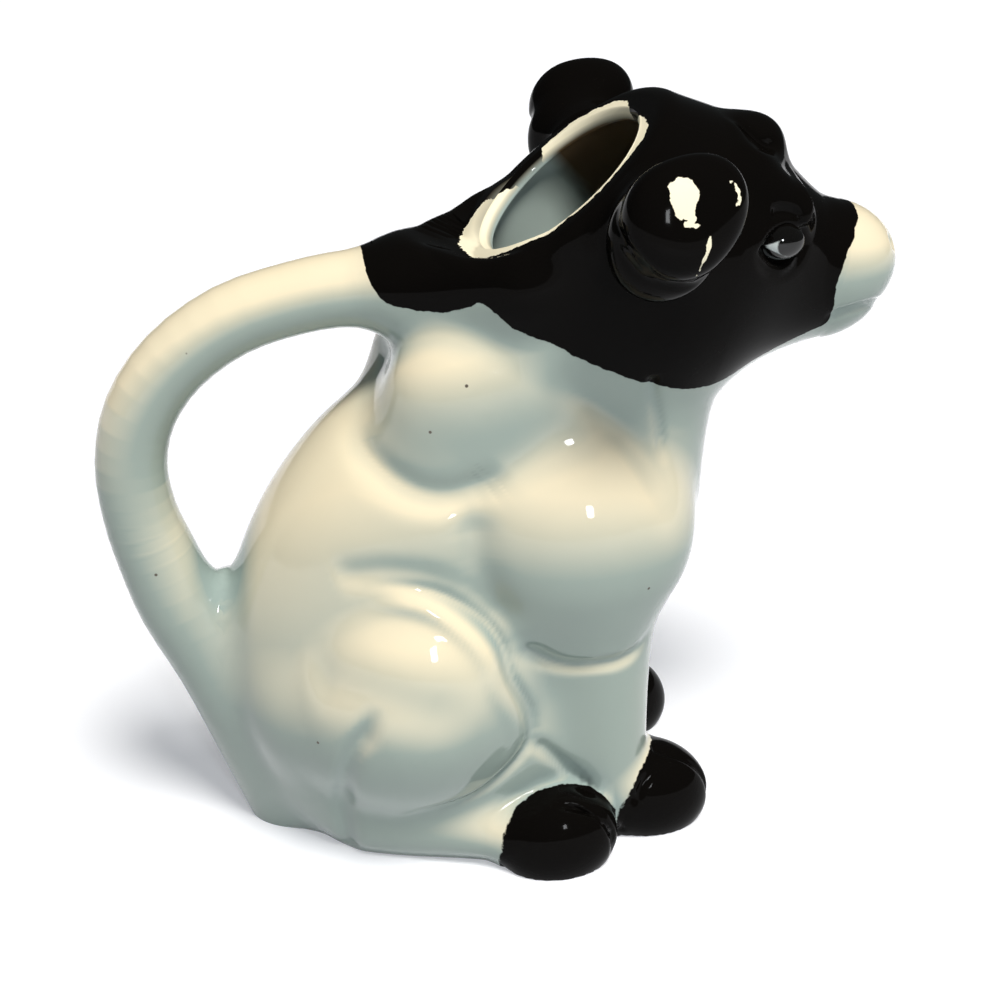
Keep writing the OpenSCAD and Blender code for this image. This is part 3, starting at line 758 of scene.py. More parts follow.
def inside_outline(q, outline):
    """Distance of flat places from a closed outline, positive inside: the least distance to
    its edges, with the sign from how many edges lie straight above."""
    nearest = np.full(len(q), np.inf)
    inside = np.zeros(len(q), bool)
    for a, b in zip(outline, np.roll(outline, -1, axis=0)):
        along = b - a
        t = np.clip((q - a) @ along / (along @ along), 0, 1)
        away = q - a - t[:, None] * along
        nearest = np.minimum(nearest, np.hypot(away[:, 0], away[:, 1]))
        spans = (a[0] > q[:, 0]) != (b[0] > q[:, 0])
        if abs(along[0]) > 0:
            crossing = a[1] + (q[:, 0] - a[0]) * along[1] / along[0]
            inside ^= spans & (crossing > q[:, 1])
    return np.where(inside, nearest, -nearest)


class Sheet:
    """Points and faces of one piece while it is put together."""

    def __init__(self):
        self.points, self.fours, self.threes, self.count = [], [], [], 0

    def add(self, points):
        """Adds a grid of points and gives the grid of their numbers."""
        flat = np.asarray(points, float).reshape(-1, 3)
        numbers = np.arange(self.count, self.count + len(flat)).reshape(np.shape(points)[:-1])
        self.points.append(flat)
        self.count += len(flat)
        return numbers

    def quads(self, a, b, c, d, outward=True):
        """Faces from four equal arrays of numbers, turned outward or the other way."""
        order = (a, b, c, d) if outward else (a, d, c, b)
        self.fours.append(np.stack([np.asarray(x).ravel() for x in order], 1))

    def grid(self, numbers, outward=True):
        """Faces between neighbours on a grid of numbers."""
        self.quads(numbers[:-1, :-1], numbers[:-1, 1:], numbers[1:, 1:], numbers[1:, :-1], outward)

    def strip(self, a, b, outward=True):
        """Faces between two equal rows of numbers."""
        self.quads(a[:-1], a[1:], b[1:], b[:-1], outward)

    def round_grid(self, points):
        """Adds a grid of points whose rows are closed rings, and gives its numbers with the
        first column again at the end."""
        grid = self.add(points)
        return np.concatenate([grid, grid[:, :1]], 1)

    def fan(self, hub, ring, outward=True):
        """Triangles from one point to a closed ring."""
        a, b = ring[:-1], ring[1:]
        order = (a, b) if outward else (b, a)
        self.threes.append(np.stack([np.full(len(a), hub), *order], 1))

    def finished(self):
        """Points in use, faces of four and faces of three."""
        points = np.concatenate(self.points)
        fours = np.concatenate(self.fours)
        threes = np.concatenate(self.threes) if self.threes else np.zeros((0, 3), int)
        used = np.unique(np.concatenate([fours.ravel(), threes.ravel()]))
        place = np.zeros(len(points), int)
        place[used] = np.arange(len(used))
        return points[used], place[fours], place[threes]


def in_scene(name, data):
    """A new object in the scene."""
    item = bpy.data.objects.new(name, data)
    bpy.context.scene.collection.objects.link(item)
    return item


def make_piece(name, sheet, normals, values, material, nodes, worked=None):
    """Puts a sheet into a mesh with its strokes, its normals, its named values and its material,
    names it, hangs it on the root and hides the parts that it stands for."""
    points, fours, threes = sheet.finished()
    points = worked(points) if worked else points
    mesh = bpy.data.meshes.new(name)
    mesh.vertices.add(len(points))
    mesh.vertices.foreach_set("co", points.astype(np.float32).ravel())
    loops = np.concatenate([fours.ravel(), threes.ravel()]).astype(np.int32)
    mesh.loops.add(len(loops))
    mesh.loops.foreach_set("vertex_index", loops)
    starts = np.concatenate([np.arange(len(fours)) * 4, fours.size + np.arange(len(threes)) * 3])
    mesh.polygons.add(len(starts))
    mesh.polygons.foreach_set("loop_start", starts.astype(np.int32))
    mesh.update(calc_edges=True)
    if mesh.validate():
        raise RuntimeError(f"{name} has faces that Blender had to mend")
    for key, value in values(points).items():
        layer = mesh.attributes.new(key, "FLOAT", "POINT")
        layer.data.foreach_set("value", value.astype(np.float32))
    mesh.materials.append(material)
    mesh.shade_smooth()
    mesh.normals_split_custom_set_from_vertices(normals(points).astype(float).tolist())
    piece = in_scene(name, mesh)
    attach(piece, ROOT)
    if nodes:
        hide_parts(*nodes)


def glazed_piece(figure, material, name, sheet, nodes, normals=None):
    """A piece under the painted glaze, with the strokes pressed into it."""
    make_piece(name, sheet, normals or skin_normals(figure), glaze_values(figure), material,
               nodes, figure.pressed)


def glaze_values(figure):
    """The values that the glaze reads at each point: millimetres inside the black glaze and
    inside the worn places and the painted highlights, how hollow and how steep the surface is for
    the painted shade, whether it is inside the jug, and whether it lies in front of the middle of
    the filling hole, where the inside takes a painted brown shadow."""
    def values(points):
        deep = -figure.solid(points) > INNER_DEPTH_SHARE * figure.sizes.wall
        drop = -figure.above_rim(points) / figure.sizes.lip_t
        forward = (points - figure.filler_at) @ figure.filler_up
        out = slope(figure.worked, points)
        shade = sum(share * (1 - figure.worked(points + reach * out) / reach)
                    for reach, share in HOLLOW_REACHES)
        return {
            "black_mm": figure.black_edge(points),
            "worn_mm": np.maximum(figure.rim_wear(points), figure.ear_chip_and_glint(points)),
            "hollow": np.clip(shade, 0, 1),
            "steep": np.clip((STEEP_FROM - out[:, 2]) / STEEP_SPAN, 0, 1),
            "inside": deep * np.clip(drop * INNER_GLAZE_GAIN - INNER_GLAZE_START, 0, 1),
            "unlit": np.clip(forward / (SHADOW_REACHES * figure.rim_reach), 0, 1),
        }
    return values


def skin_normals(figure):
    """Normals from the whole jug's distance field, turned round on the inner skin."""
    def normals(points):
        out, inner = slope(figure.worked, points), slope(figure.cavity, points)
        return np.where(figure.lies_inside(points)[:, None], -inner, out)
    return normals


def ring_points(places, tilts, gaps, field):
    """Rings of skin points: from each place on the spine, rays in its tilted plane go out from
    the top round one side to the bottom, and the other side is their reflection. A gap keeps
    rays off the hole over the top."""
    turn = np.outer(np.pi - gaps, 1 - np.arange(HALF_TURNS + 1) / HALF_TURNS)
    c, s = np.cos(tilts)[:, None], np.sin(tilts)[:, None]
    direction = np.stack([c * np.cos(turn), -np.sin(turn), -s * np.cos(turn)], -1)
    half = walk(field, places[:, None], direction)
    half[:, -1, 1] = 0
    half[gaps == 0, 0, 1] = 0
    return np.concatenate([half, mirrored(half[:, -2::-1])], 1)


def closed_rings(numbers, shut=slice(None)):
    """A grid of numbers whose last column is its first, on the rings that are shut."""
    numbers = numbers.copy()
    numbers[shut, -1] = numbers[shut, 0]
    return numbers


def fan_place(figure, angles):
    """Places on the head's spine, at a distance from the throat that follows the angle."""
    t = (angles - np.radians(NECK_ANGLE)) / np.radians(FACE_ANGLE - NECK_ANGLE)
    reach = spline(spine_reach_shares, t)[:, 0] * figure.h
    away = np.stack([-np.cos(angles), 0 * angles, np.sin(angles)], -1)
    return figure.throat + reach[:, None] * away


def head_rings(figure):
    """Angle and gap of each ring of the head, where those with a gap meet the hole."""
    u = -figure.hole_r * np.cos(np.pi * np.arange(HOLE_RINGS + 1) / HOLE_RINGS)
    mid = figure.filler_at + np.multiply.outer(u, figure.filler_up)
    hole = np.arctan2(mid[:, 2] - figure.throat[2], figure.throat[0] - mid[:, 0])
    half = np.sqrt(np.maximum(figure.hole_r ** 2 - u ** 2, 0))
    away = np.linalg.norm(mid - fan_place(figure, hole), axis=1)
    gap = np.arctan2(half, away)
    gap[[0, -1]] = 0
    neck = np.linspace(np.radians(NECK_ANGLE), hole[0], NECK_RINGS + 1)[:-1]
    face = np.linspace(hole[-1], np.radians(FACE_ANGLE), FACE_RINGS + 1)[1:]
    angles = np.concatenate([neck, hole, face])
    gaps = np.concatenate([0 * neck, gap, 0 * face])
    return angles, gaps


def build_head(figure, material):
    """Head shell: the outer and inner skins are rings in planes that fan about the throat, and
    a strip joins them round the filling hole."""
    angles, gaps = head_rings(figure)
    places = fan_place(figure, angles)
    outer = ring_points(places, angles, gaps, figure.rooted_skin)
    last = NECK_RINGS + HOLE_RINGS
    kept = np.r_[np.arange(last), np.arange(last, len(angles), FACE_INNER_STEP)]
    inner = ring_points(places[kept], angles[kept], gaps[kept], figure.cavity)
    hole = slice(NECK_RINGS, last + 1)
    for side in (0, -1):
        out = unit(figure.off_filler_axis(outer[hole, side]))
        inner[hole, side] = (figure.filler_at + figure.filler_r * out
                             - figure.sizes.lip_t * figure.filler_out)
    sheet = Sheet()
    o = closed_rings(sheet.add(outer), gaps == 0)
    i = closed_rings(sheet.add(inner), gaps[kept] == 0)
    sheet.grid(o)
    sheet.grid(i, False)
    sheet.strip(o[0], i[0], False)
    sheet.strip(o[-1], i[-1])
    sheet.strip(o[hole, 0], i[hole, 0])
    sheet.strip(o[hole, -1], i[hole, -1], False)
    glazed_piece(figure, material, "head_shell", sheet, ["head"])


def build_torso(figure, material):
    """Torso shell: rings level at the foot and tilted to the neck joint at the top, with the
    foot ring and its recess underneath and the floor inside."""
    s = figure.sizes
    neck = fan_place(figure, np.radians([NECK_ANGLE]))[0]
    spine = np.vstack([figure.in_plane(torso_spine_shares), neck])

    def rings(share, lowest, field):
        at = spline(spine, share)
        lift = np.clip((at[:, 2] - spine[3, 2]) / (neck[2] - spine[3, 2]), 0, 1)
        at[:, 2] = np.maximum(at[:, 2], lowest)
        return ring_points(at, np.radians(NECK_ANGLE) * lift, 0 * lift, field)

    skin = rings(np.arange(TORSO_RINGS + 1) / TORSO_RINGS, s.foot_edge, figure.rooted_skin)
    floor_share = s.floor_t / neck[2]
    inner = rings(np.linspace(floor_share, 1, TORSO_INNER_RINGS + 1), s.floor_t, figure.cavity)
    centre = np.array([spine[0, 0], 0, 0])

    def shrunk(by, z):
        flat = skin[0] * [1, 1, 0]
        return flat + by * unit(centre - flat) + [0, 0, z]

    turn = np.pi / 2 * np.arange(FOOT_STEPS) / FOOT_STEPS
    edge = [shrunk(s.foot_edge * (1 - np.sin(a)), s.foot_edge * (1 - np.cos(a))) for a in turn]
    under = [shrunk(s.foot_edge + s.foot_ring_w + s.foot_recess, s.foot_recess),
             shrunk(s.foot_edge + s.foot_ring_w, 0)]
    sheet = Sheet()
    o = closed_rings(sheet.add(np.stack(under + edge + list(skin))))
    i = closed_rings(sheet.add(inner))
    hubs = sheet.add([centre + [0, 0, s.foot_recess],
                      [spline(spine, floor_share)[0], 0, s.floor_t]])
    sheet.grid(o)
    sheet.grid(i, False)
    sheet.strip(o[-1], i[-1])
    sheet.fan(hubs[0], o[0], False)
    sheet.fan(hubs[1], i[0])

    def normals(points):
        n = skin_normals(figure)(points)
        low = points[:, 2] < s.foot_edge * (1 - FOOT_TOUCH)
        flat = points[:, 2] < s.foot_edge * FOOT_TOUCH
        n[low] += np.outer(-FOOT_LEAN * (1 - points[low, 2] / s.foot_edge), [0, 0, 1])
        n[flat | (low & (points[:, 2] > s.foot_recess * (1 - FOOT_TOUCH)))] = [0, 0, -1]
        return unit(n)
    glazed_piece(figure, material, "torso_shell", sheet, ["torso"], normals)


def build_muzzle(figure, material):
    """Muzzle shell: rings close in from the face joint to the slot between the lips, seen from
    a core inside the muzzle."""
    s = figure.sizes
    core, mouth = figure.placed(muzzle_core_shares), figure.placed(mouth_shares)
    turn = np.pi * (1 - np.arange(HALF_TURNS + 1) / HALF_TURNS)
    slot = np.stack([0 * turn, -s.mouth_w / 2 * np.sin(turn), -s.mouth_h / 2 * np.cos(turn)], -1)

    def rings(field, count):
        angle = np.radians([FACE_ANGLE])
        joint = ring_points(fan_place(figure, angle), angle, np.zeros(1), field)[0]
        t = (np.arange(count + 1) / count)[:, None, None]
        aim = (1 - t) * joint[:HALF_TURNS + 1] + t * (mouth + slot) - core
        half = walk(field, core, unit(aim))
        half[0] = joint[:HALF_TURNS + 1]
        half[:, [0, -1], 1] = 0
        return np.concatenate([half, mirrored(half[:, -2::-1])], 1)

    sheet = Sheet()
    o = closed_rings(sheet.add(rings(figure.skin, MUZZLE_RINGS)))
    i = closed_rings(sheet.add(rings(figure.cavity, MUZZLE_INNER_RINGS)))
    sheet.grid(o)
    sheet.grid(i, False)
    sheet.strip(o[0], i[0], False)
    sheet.strip(o[-1], i[-1])
    glazed_piece(figure, material, "muzzle_shell", sheet, ["muzzle"])


def walked_skin(spine, across, field, rings, turns, round_end):
    """A skin round a spine: rays stand square to it in each ring, and lean along it over its
    start, and over its end where that is round, until they close it."""
    leans = np.pi / 2 * np.arange(1, CAP_RINGS) / CAP_RINGS
    before = leans - np.pi / 2
    after = leans if round_end else leans[:0]
    share = np.concatenate([0 * before, np.arange(rings + 1) / rings, 1 + 0 * after])
    lean = np.concatenate([before, np.zeros(rings + 1), after])
    across = np.array(across, float)

    def met(share, lean, turn):
        step = RUN_STEP / rings
        along = unit(spine(np.minimum(1, share + step)) - spine(np.maximum(0, share - step)))
        side = np.cross(across, along)[:, None]
        c, s = np.cos(lean)[:, None, None], np.sin(lean)[:, None, None]
        round_it = np.cos(turn)[..., None] * side + np.sin(turn)[..., None] * across
        return walk(field, spine(share)[:, None], c * round_it + s * along[:, None])

    turn = np.broadcast_to(2 * np.pi * np.arange(turns) / turns, (len(share), turns))
    points = met(share, lean, turn)
    first = met(np.zeros(1), np.array([-np.pi / 2]), np.zeros((1, 1)))[0, 0]
    last = spine(np.ones(1))[0]
    if round_end:
        last = met(np.ones(1), np.array([np.pi / 2]), np.zeros((1, 1)))[0, 0]
    sheet = Sheet()
    grid = sheet.round_grid(points)
    hubs = sheet.add([first, last])
    sheet.grid(grid)
    sheet.fan(hubs[0], grid[0], False)
    sheet.fan(hubs[1], grid[-1])
    return sheet


def grown(start, field, axis, bands, turns):
    """A small piece walked out in all directions from a point inside it, with its poles along
    the axis."""
    axis, side = np.array(axis, float), np.array([1.0, 0, 0])
    up = np.cross(axis, side)
    lat = np.pi * np.arange(1, bands) / bands
    turn = 2 * np.pi * np.arange(turns) / turns
    round_it = np.cos(turn)[:, None] * side + np.sin(turn)[:, None] * up
    direction = np.cos(lat)[:, None, None] * axis + np.sin(lat)[:, None, None] * round_it
    sheet = Sheet()
    grid = sheet.round_grid(walk(field, start, direction))
    hubs = sheet.add(walk(field, start, np.stack([axis, -axis])))
    sheet.grid(grid, False)
    sheet.fan(hubs[0], grid[0])
    sheet.fan(hubs[1], grid[-1], False)
    return sheet


def both_sides(right):
    """The right side's sheet, and the same one reflected to the left and still facing
    outward, each after the name of its side."""
    left = Sheet()
    left.points = [mirrored(p) for p in right.points]
    left.fours = [f[:, ::-1] for f in right.fours]
    left.threes = [f[:, ::-1] for f in right.threes]
    return ("right", right), ("left", left)


def build_handle(figure, material):
    """Handle: a round bar along a curve, flared into the nape and down the rump."""
    def spine(t):
        return figure.in_plane(spline(handle_spine_shares, t))
    sheet = walked_skin(spine, [0, 1, 0], figure.handle, HANDLE_RINGS, HANDLE_TURNS, False)
    glazed_piece(figure, material, "handle_bar", sheet, ["handle"])


def build_ears(figure, material):
    """Two ears, walked out round the line from the root to the leaf's middle."""
    start, leaf = figure.placed(ear_start_shares), np.array(figure.ear[0])

    def spine(t):
        return start + np.asarray(t)[..., None] * (leaf - start)
    right = walked_skin(spine, [1, 0, 0], figure.right_ear, EAR_RINGS, EAR_TURNS, True)
    for side, sheet in both_sides(right):
        glazed_piece(figure, material, f"{side}_ear_leaf", sheet, [f"{side}_ear"])


def build_hooves(figure, material):
    """Four hooves, each walked out from its middle."""
    core = np.array([hoof_core_share * figure.sizes.fore_hoof_l, 0, 0])
    hooves = {"fore": (figure.fore_hoof, core), "hind": (figure.hind_hoof, 0 * core)}
    for name, (form, forward) in hooves.items():
        def field(p, form=form):
            return figure.hoof(p, form)
        right = grown(form[0] + forward, field, [0, 0, 1], HOOF_BANDS, HOOF_TURNS)
        for side, sheet in both_sides(right):
            glazed_piece(figure, material, f"{side}_{name}_hoof_tip", sheet,
                         [f"{side}_{name}_hoof"])


def build_eyes(figure, _):
    """Two eyes: flattened ovals set in their sockets, with a paint of their own."""
    def normals(points):
        return slope(lambda p: lobe(folded(p), figure.eye), points, EYE_STEP)

    def values(points):
        at, half = figure.eye[:2]
        along, up = ((points[:, k] - at[k]) / half[k] for k in (0, 2))
        wedge = WHITE_SLOPE * (along - WHITE_CORNER) - np.abs(up - WHITE_LOW)
        iris = np.hypot(along - IRIS_AT, up * IRIS_FLAT) - IRIS_R
        band = LID_HALF_W - np.abs(np.hypot(along * LID_FLAT, up) - LID_R)
        return {"eye_white": np.minimum.reduce([wedge, iris, WHITE_FRONT - along]),
                "eye_lid": np.minimum.reduce([band, LID_TOP - up, LID_FRONT - along])}

    paint = eye_material(bpy.context.scene.milk_jug_colours)
    right = grown(figure.eye[0], figure.eyeball, [0, -1, 0], EYE_BANDS, EYE_TURNS)
    for side, sheet in both_sides(right):
        make_piece(f"{side}_eye_ball", sheet, normals, values, paint,
                   [f"{side}_eye"])


def build_lip(figure, material):
    """Rounded lip: a closed profile carried round the filling hole."""
    s = figure.sizes
    profile = [[figure.filler_r + bevel * s.lip_w + out * s.lip_t, up * s.lip_t]
               for bevel, out, up in lip_shares + lip_shares[:1]]
    path = spline(profile, np.linspace(0, 1, LIP_STEPS * len(lip_shares) + 1))[:-1]
    turn = 2 * np.pi * np.arange(LIP_TURNS) / LIP_TURNS
    out = np.cos(turn)[:, None] * figure.filler_up + np.sin(turn)[:, None] * [0, 1, 0]

    def carried(flat):
        return flat[None, :, :1] * out[:, None] + flat[None, :, 1:] * figure.filler_out

    sheet = Sheet()
    grid = sheet.round_grid(figure.filler_at + carried(path))
    sheet.grid(np.concatenate([grid, grid[:1]], 0))
    step = np.roll(path, -1, 0) - np.roll(path, 1, 0)
    n = carried(unit(np.stack([-step[:, 1], step[:, 0]], 1))).reshape(-1, 3)
    make_piece("filler_lip", sheet, lambda points: n, glaze_values(figure), material,
               [])


# noise of a painted edge, and of one that is chipped or worn, which also edges the painted
# highlights of the right ear: how far it wanders in millimetres, coarse and fine, how small the
# noise is, and how soft the edge
PAINTED_EDGE = {"Wander": 0.6, "Fine": 0.25, "Coarse Scale": 160.0, "Fine Scale": 900.0,
                "Softness": 0.12}
WORN_EDGE = {"Wander": 0.9, "Fine": 0.5, "Coarse Scale": 260.0, "Softness": 0.08}
# cells of the specks to the metre, how large a speck is in its cell, and how many cells have one
SPECKS = {"Scale": 110.0, "Size": 0.03, "Share": 0.4}
# how sharply the specks and the marks of the eye end
SPECK_SHARPNESS = 80.0
EYE_SHARPNESS = 14.0
# scale and detail of the cream's clouds and of the glaze's ripple
CLOUDS = {"Scale": 38.0, "Detail": 3.0}
RIPPLES = {"Scale": 120.0, "Detail": 1.0}
# the pooled colour, pooled glaze with painted shade, comes in over the hollow value from the first
# of these, times the second
POOL_AND_SHADE_FROM = 0.06
POOL_AND_SHADE_GAIN = 2.2
# roughness of the glaze, and what is added where it is worn through and on the painted highlights
# of the right ear
GLAZE_ROUGHNESS = 0.09
WORN_ROUGHNESS = 0.4
EYE_ROUGHNESS = 0.06
PAPER_ROUGHNESS = 0.9
# the clear coat, and what the black glaze takes from it
COAT = 0.8
BLACK_COAT_LOSS = 0.75
COAT_ROUGHNESS = 0.05
GLAZE_IOR = 1.08
# relief of the glaze: its ripple, what the black stands up and what wear and the painted highlights
# of the right ear take away, in shares of the bump's height
RIPPLE_RISE = 0.25
BLACK_RISE = 0.5
WORN_FALL = 0.6
BUMP_HEIGHT = 0.12 * MM
BUMP_STRENGTH = 0.25


def put(tree, socket, value):
    """Links another socket to an input, or sets its value; a colour gets its fourth number."""
    if isinstance(value, bpy.types.NodeSocket):
        tree.links.new(value, socket)
    else:
        socket.default_value = (*value, 1.0) if socket.type == "RGBA" else value


def feed(tree, node, inputs):
    """Links or sets the inputs of a node by their names."""
    for name, value in inputs.items():
        put(tree, node.inputs[name], value)


def add(tree, kind, inputs=None, **settings):
    """Adds a node with its settings and its inputs."""
    node = tree.nodes.new(kind)
    for key, value in settings.items():
        setattr(node, key, value)
    feed(tree, node, inputs or {})
    return node


def maths(tree, operation, a, b=0.0, clamp=False):
    """A Math node whose two inputs are sockets or numbers; gives its output."""
    node = add(tree, "ShaderNodeMath", operation=operation, use_clamp=clamp)
    for socket, value in zip(node.inputs, (a, b)):
        put(tree, socket, value)
    return node.outputs[0]


def times(tree, a, b, clamp=False):
    """The product of two sockets or numbers."""
    return maths(tree, "MULTIPLY", a, b, clamp)


def mix_colour(tree, factor, a, b):
    """A colour mix of two colours or sockets by a mask; gives its output."""
    node = add(tree, "ShaderNodeMix", data_type="RGBA")
    for index, value in ((0, factor), (6, a), (7, b)):
        put(tree, node.inputs[index], value)
    return node.outputs[2]


def node_group(name, values):
    """A shader node group that takes a place and named values and gives a mask."""
    group = bpy.data.node_groups.new(name, "ShaderNodeTree")
    group.interface.new_socket(name="Place", in_out="INPUT", socket_type="NodeSocketVector")
    for label, default in values.items():
        given = group.interface.new_socket(name=label, in_out="INPUT",
                                           socket_type="NodeSocketFloat")
        given.default_value = default
    group.interface.new_socket(name="Mask", in_out="OUTPUT", socket_type="NodeSocketFloat")
    return group, group.nodes.new("NodeGroupInput").outputs, group.nodes.new("NodeGroupOutput")


def ragged_edge_group():
    """Mask of a painted or chipped edge: the distance to the edge plus coarse and fine noise,
    cut off over the softness."""
    group, given, end = node_group("Ragged edge", {"Distance": 0.0, **PAINTED_EDGE})
    total = given["Distance"]
    for scale, amount in (("Coarse Scale", "Wander"), ("Fine Scale", "Fine")):
        noise = add(group, "ShaderNodeTexNoise",
                    {"Vector": given["Place"], "Scale": given[scale], "Detail": 2.0})
        centred = maths(group, "SUBTRACT", noise.outputs["Fac"], 0.5)
        wander = times(group, times(group, centred, 2.0), given[amount])
        total = maths(group, "ADD", total, wander)
    scaled = maths(group, "DIVIDE", total, given["Softness"])
    put(group, end.inputs["Mask"], maths(group, "ADD", scaled, 0.5, clamp=True))
    return group


def speck_group():
    """Mask of sparse round specks: the middles of some of the cells of a cell pattern."""
    group, given, end = node_group("Sparse specks", SPECKS)
    cells = add(group, "ShaderNodeTexVoronoi", {"Vector": given["Place"], "Scale": given["Scale"]})
    near = maths(group, "SUBTRACT", given["Size"], cells.outputs["Distance"])
    near = maths(group, "ADD", times(group, near, SPECK_SHARPNESS), 0.5, clamp=True)
    tint = add(group, "ShaderNodeSeparateColor")
    group.links.new(cells.outputs["Color"], tint.inputs[0])
    chosen = maths(group, "LESS_THAN", tint.outputs[0], given["Share"])
    put(group, end.inputs["Mask"], times(group, near, chosen))
    return group


def new_material(name):
    """A material with its tree cleared down to the shader and the output."""
    material = bpy.data.materials.new(name)
    material.use_nodes = True
    tree = material.node_tree
    tree.nodes.clear()
    shader = add(tree, "ShaderNodeBsdfPrincipled")
    add(tree, "ShaderNodeOutputMaterial", {"Surface": shader.outputs[0]})
    return material, tree, shader


def named_value(tree, name):
    """A value that the mesh carries at each point."""
    return add(tree, "ShaderNodeAttribute", attribute_name=name).outputs["Fac"]


def glaze_material(look):
    """The jug's glaze: cream, with black painted over it down to its edge, worn through to
    the pale body round the rim, the same pale colour as painted highlights on the right ear,
    and painted shade that makes the cream darker and cooler on steep sides, in hollows where it
    has also pooled, and inside, with a painted brown shadow inside the head."""
    material, tree, shader = new_material("painted_glaze")
    place = add(tree, "ShaderNodeTexCoord").outputs["Object"]
    edge = ragged_edge_group()

    def mask(name, values):
        node = add(tree, "ShaderNodeGroup", node_tree=edge)
        feed(tree, node, {"Place": place, "Distance": named_value(tree, name), **values})
        return node.outputs["Mask"]

    inside = named_value(tree, "inside")
    outside = maths(tree, "SUBTRACT", 1.0, inside)
    dark = times(tree, mask("black_mm", PAINTED_EDGE), outside)
    # the worn places, together with the painted highlights of the right ear
    worn = times(tree, mask("worn_mm", WORN_EDGE), outside)
    hollow = maths(tree, "SUBTRACT", named_value(tree, "hollow"), POOL_AND_SHADE_FROM)

    cloud = add(tree, "ShaderNodeTexNoise", {"Vector": place, **CLOUDS})
    cream = mix_colour(tree, cloud.outputs["Fac"], look.cream, look.cream_warm)
    # painted shade: darker, cooler cream on steep sides
    cream = mix_colour(tree, named_value(tree, "steep"), cream, look.steep_shade)
    # pooled glaze with painted shade: darker, cooler cream in hollows
    cream = mix_colour(tree, times(tree, hollow, POOL_AND_SHADE_GAIN, clamp=True), cream, look.pooled_and_shaded)
    # inside the jug: glaze painted darker as shade, with a painted brown shadow in front of the
    # middle of the filling hole
    within = mix_colour(tree, named_value(tree, "unlit"), look.inside, look.inside_shadow)
    cream = mix_colour(tree, inside, cream, within)
    specks = add(tree, "ShaderNodeGroup", node_tree=speck_group())
    put(tree, specks.inputs["Place"], place)
    cream = mix_colour(tree, specks.outputs["Mask"], cream, look.speck)
    painted = mix_colour(tree, dark, cream, look.black)

    rough = maths(tree, "ADD", times(tree, worn, WORN_ROUGHNESS), GLAZE_ROUGHNESS)
    gloss = maths(tree, "SUBTRACT", COAT, times(tree, dark, BLACK_COAT_LOSS))
    gloss = times(tree, gloss, maths(tree, "SUBTRACT", 1.0, worn))
    ripple = add(tree, "ShaderNodeTexNoise", {"Vector": place, **RIPPLES})
    relief = maths(tree, "ADD", times(tree, ripple.outputs["Fac"], RIPPLE_RISE),
                   times(tree, dark, BLACK_RISE))
    relief = maths(tree, "SUBTRACT", relief, times(tree, worn, WORN_FALL))
    bump = add(tree, "ShaderNodeBump", {
        "Height": relief, "Strength": BUMP_STRENGTH, "Distance": BUMP_HEIGHT})
    # the pale body shows where the glaze is worn, and the same colour paints the highlights of the
    # right ear
    feed(tree, shader, {
        "Base Color": mix_colour(tree, worn, painted, look.bare_and_glint), "Roughness": rough,
        "IOR": GLAZE_IOR, "Coat Weight": gloss, "Coat Roughness": COAT_ROUGHNESS,
        "Normal": bump.outputs[0]})
    return material


def eye_material(look):
    """The eye: black, with its white showing behind the iris and a pale line along the lower
    lid."""
    material, tree, shader = new_material("painted_eye")
    paint = look.black
    for name, tint in (("eye_white", look.eye_white), ("eye_lid", look.eye_lid)):
        sharp = times(tree, named_value(tree, name), EYE_SHARPNESS)
        paint = mix_colour(tree, maths(tree, "ADD", sharp, 0.5, clamp=True), paint, tint)
    feed(tree, shader, {"Base Color": paint, "Roughness": EYE_ROUGHNESS})
    return material


def floor_material(stage):
    """Matt paper that is white where it is seen, straight or mirrored, and throws back less
    light than that on the jug."""
    material, tree, shader = new_material("floor_paper")
    path = add(tree, "ShaderNodeLightPath").outputs
    seen = maths(tree, "MAXIMUM", path["Is Camera Ray"], path["Is Glossy Ray"])
    seen = maths(tree, "MAXIMUM", seen, path["Is Transmission Ray"])
    feed(tree, shader, {
        "Base Color": mix_colour(tree, seen, stage.bounce, stage.floor),
        "Roughness": PAPER_ROUGHNESS, "Specular IOR Level": 0.0,
        "Emission Color": mix_colour(tree, seen, (0, 0, 0), stage.glow), "Emission Strength": 1.0})
    return material


def a_length(name, default, description):
    """A length that the user may change."""
    return FloatProperty(name=name, default=default, description=description, unit="LENGTH",
                         precision=4)


def an_angle(name, degrees, description):
    """An angle that the user may change, given in degrees."""
    return FloatProperty(name=name, default=np.radians(degrees), description=description,
                         unit="ROTATION")


def a_colour(name, default, description):
    """A colour that the user may change."""
    return FloatVectorProperty(name=name, default=default, description=description,
                               subtype="COLOR", min=0, max=1)


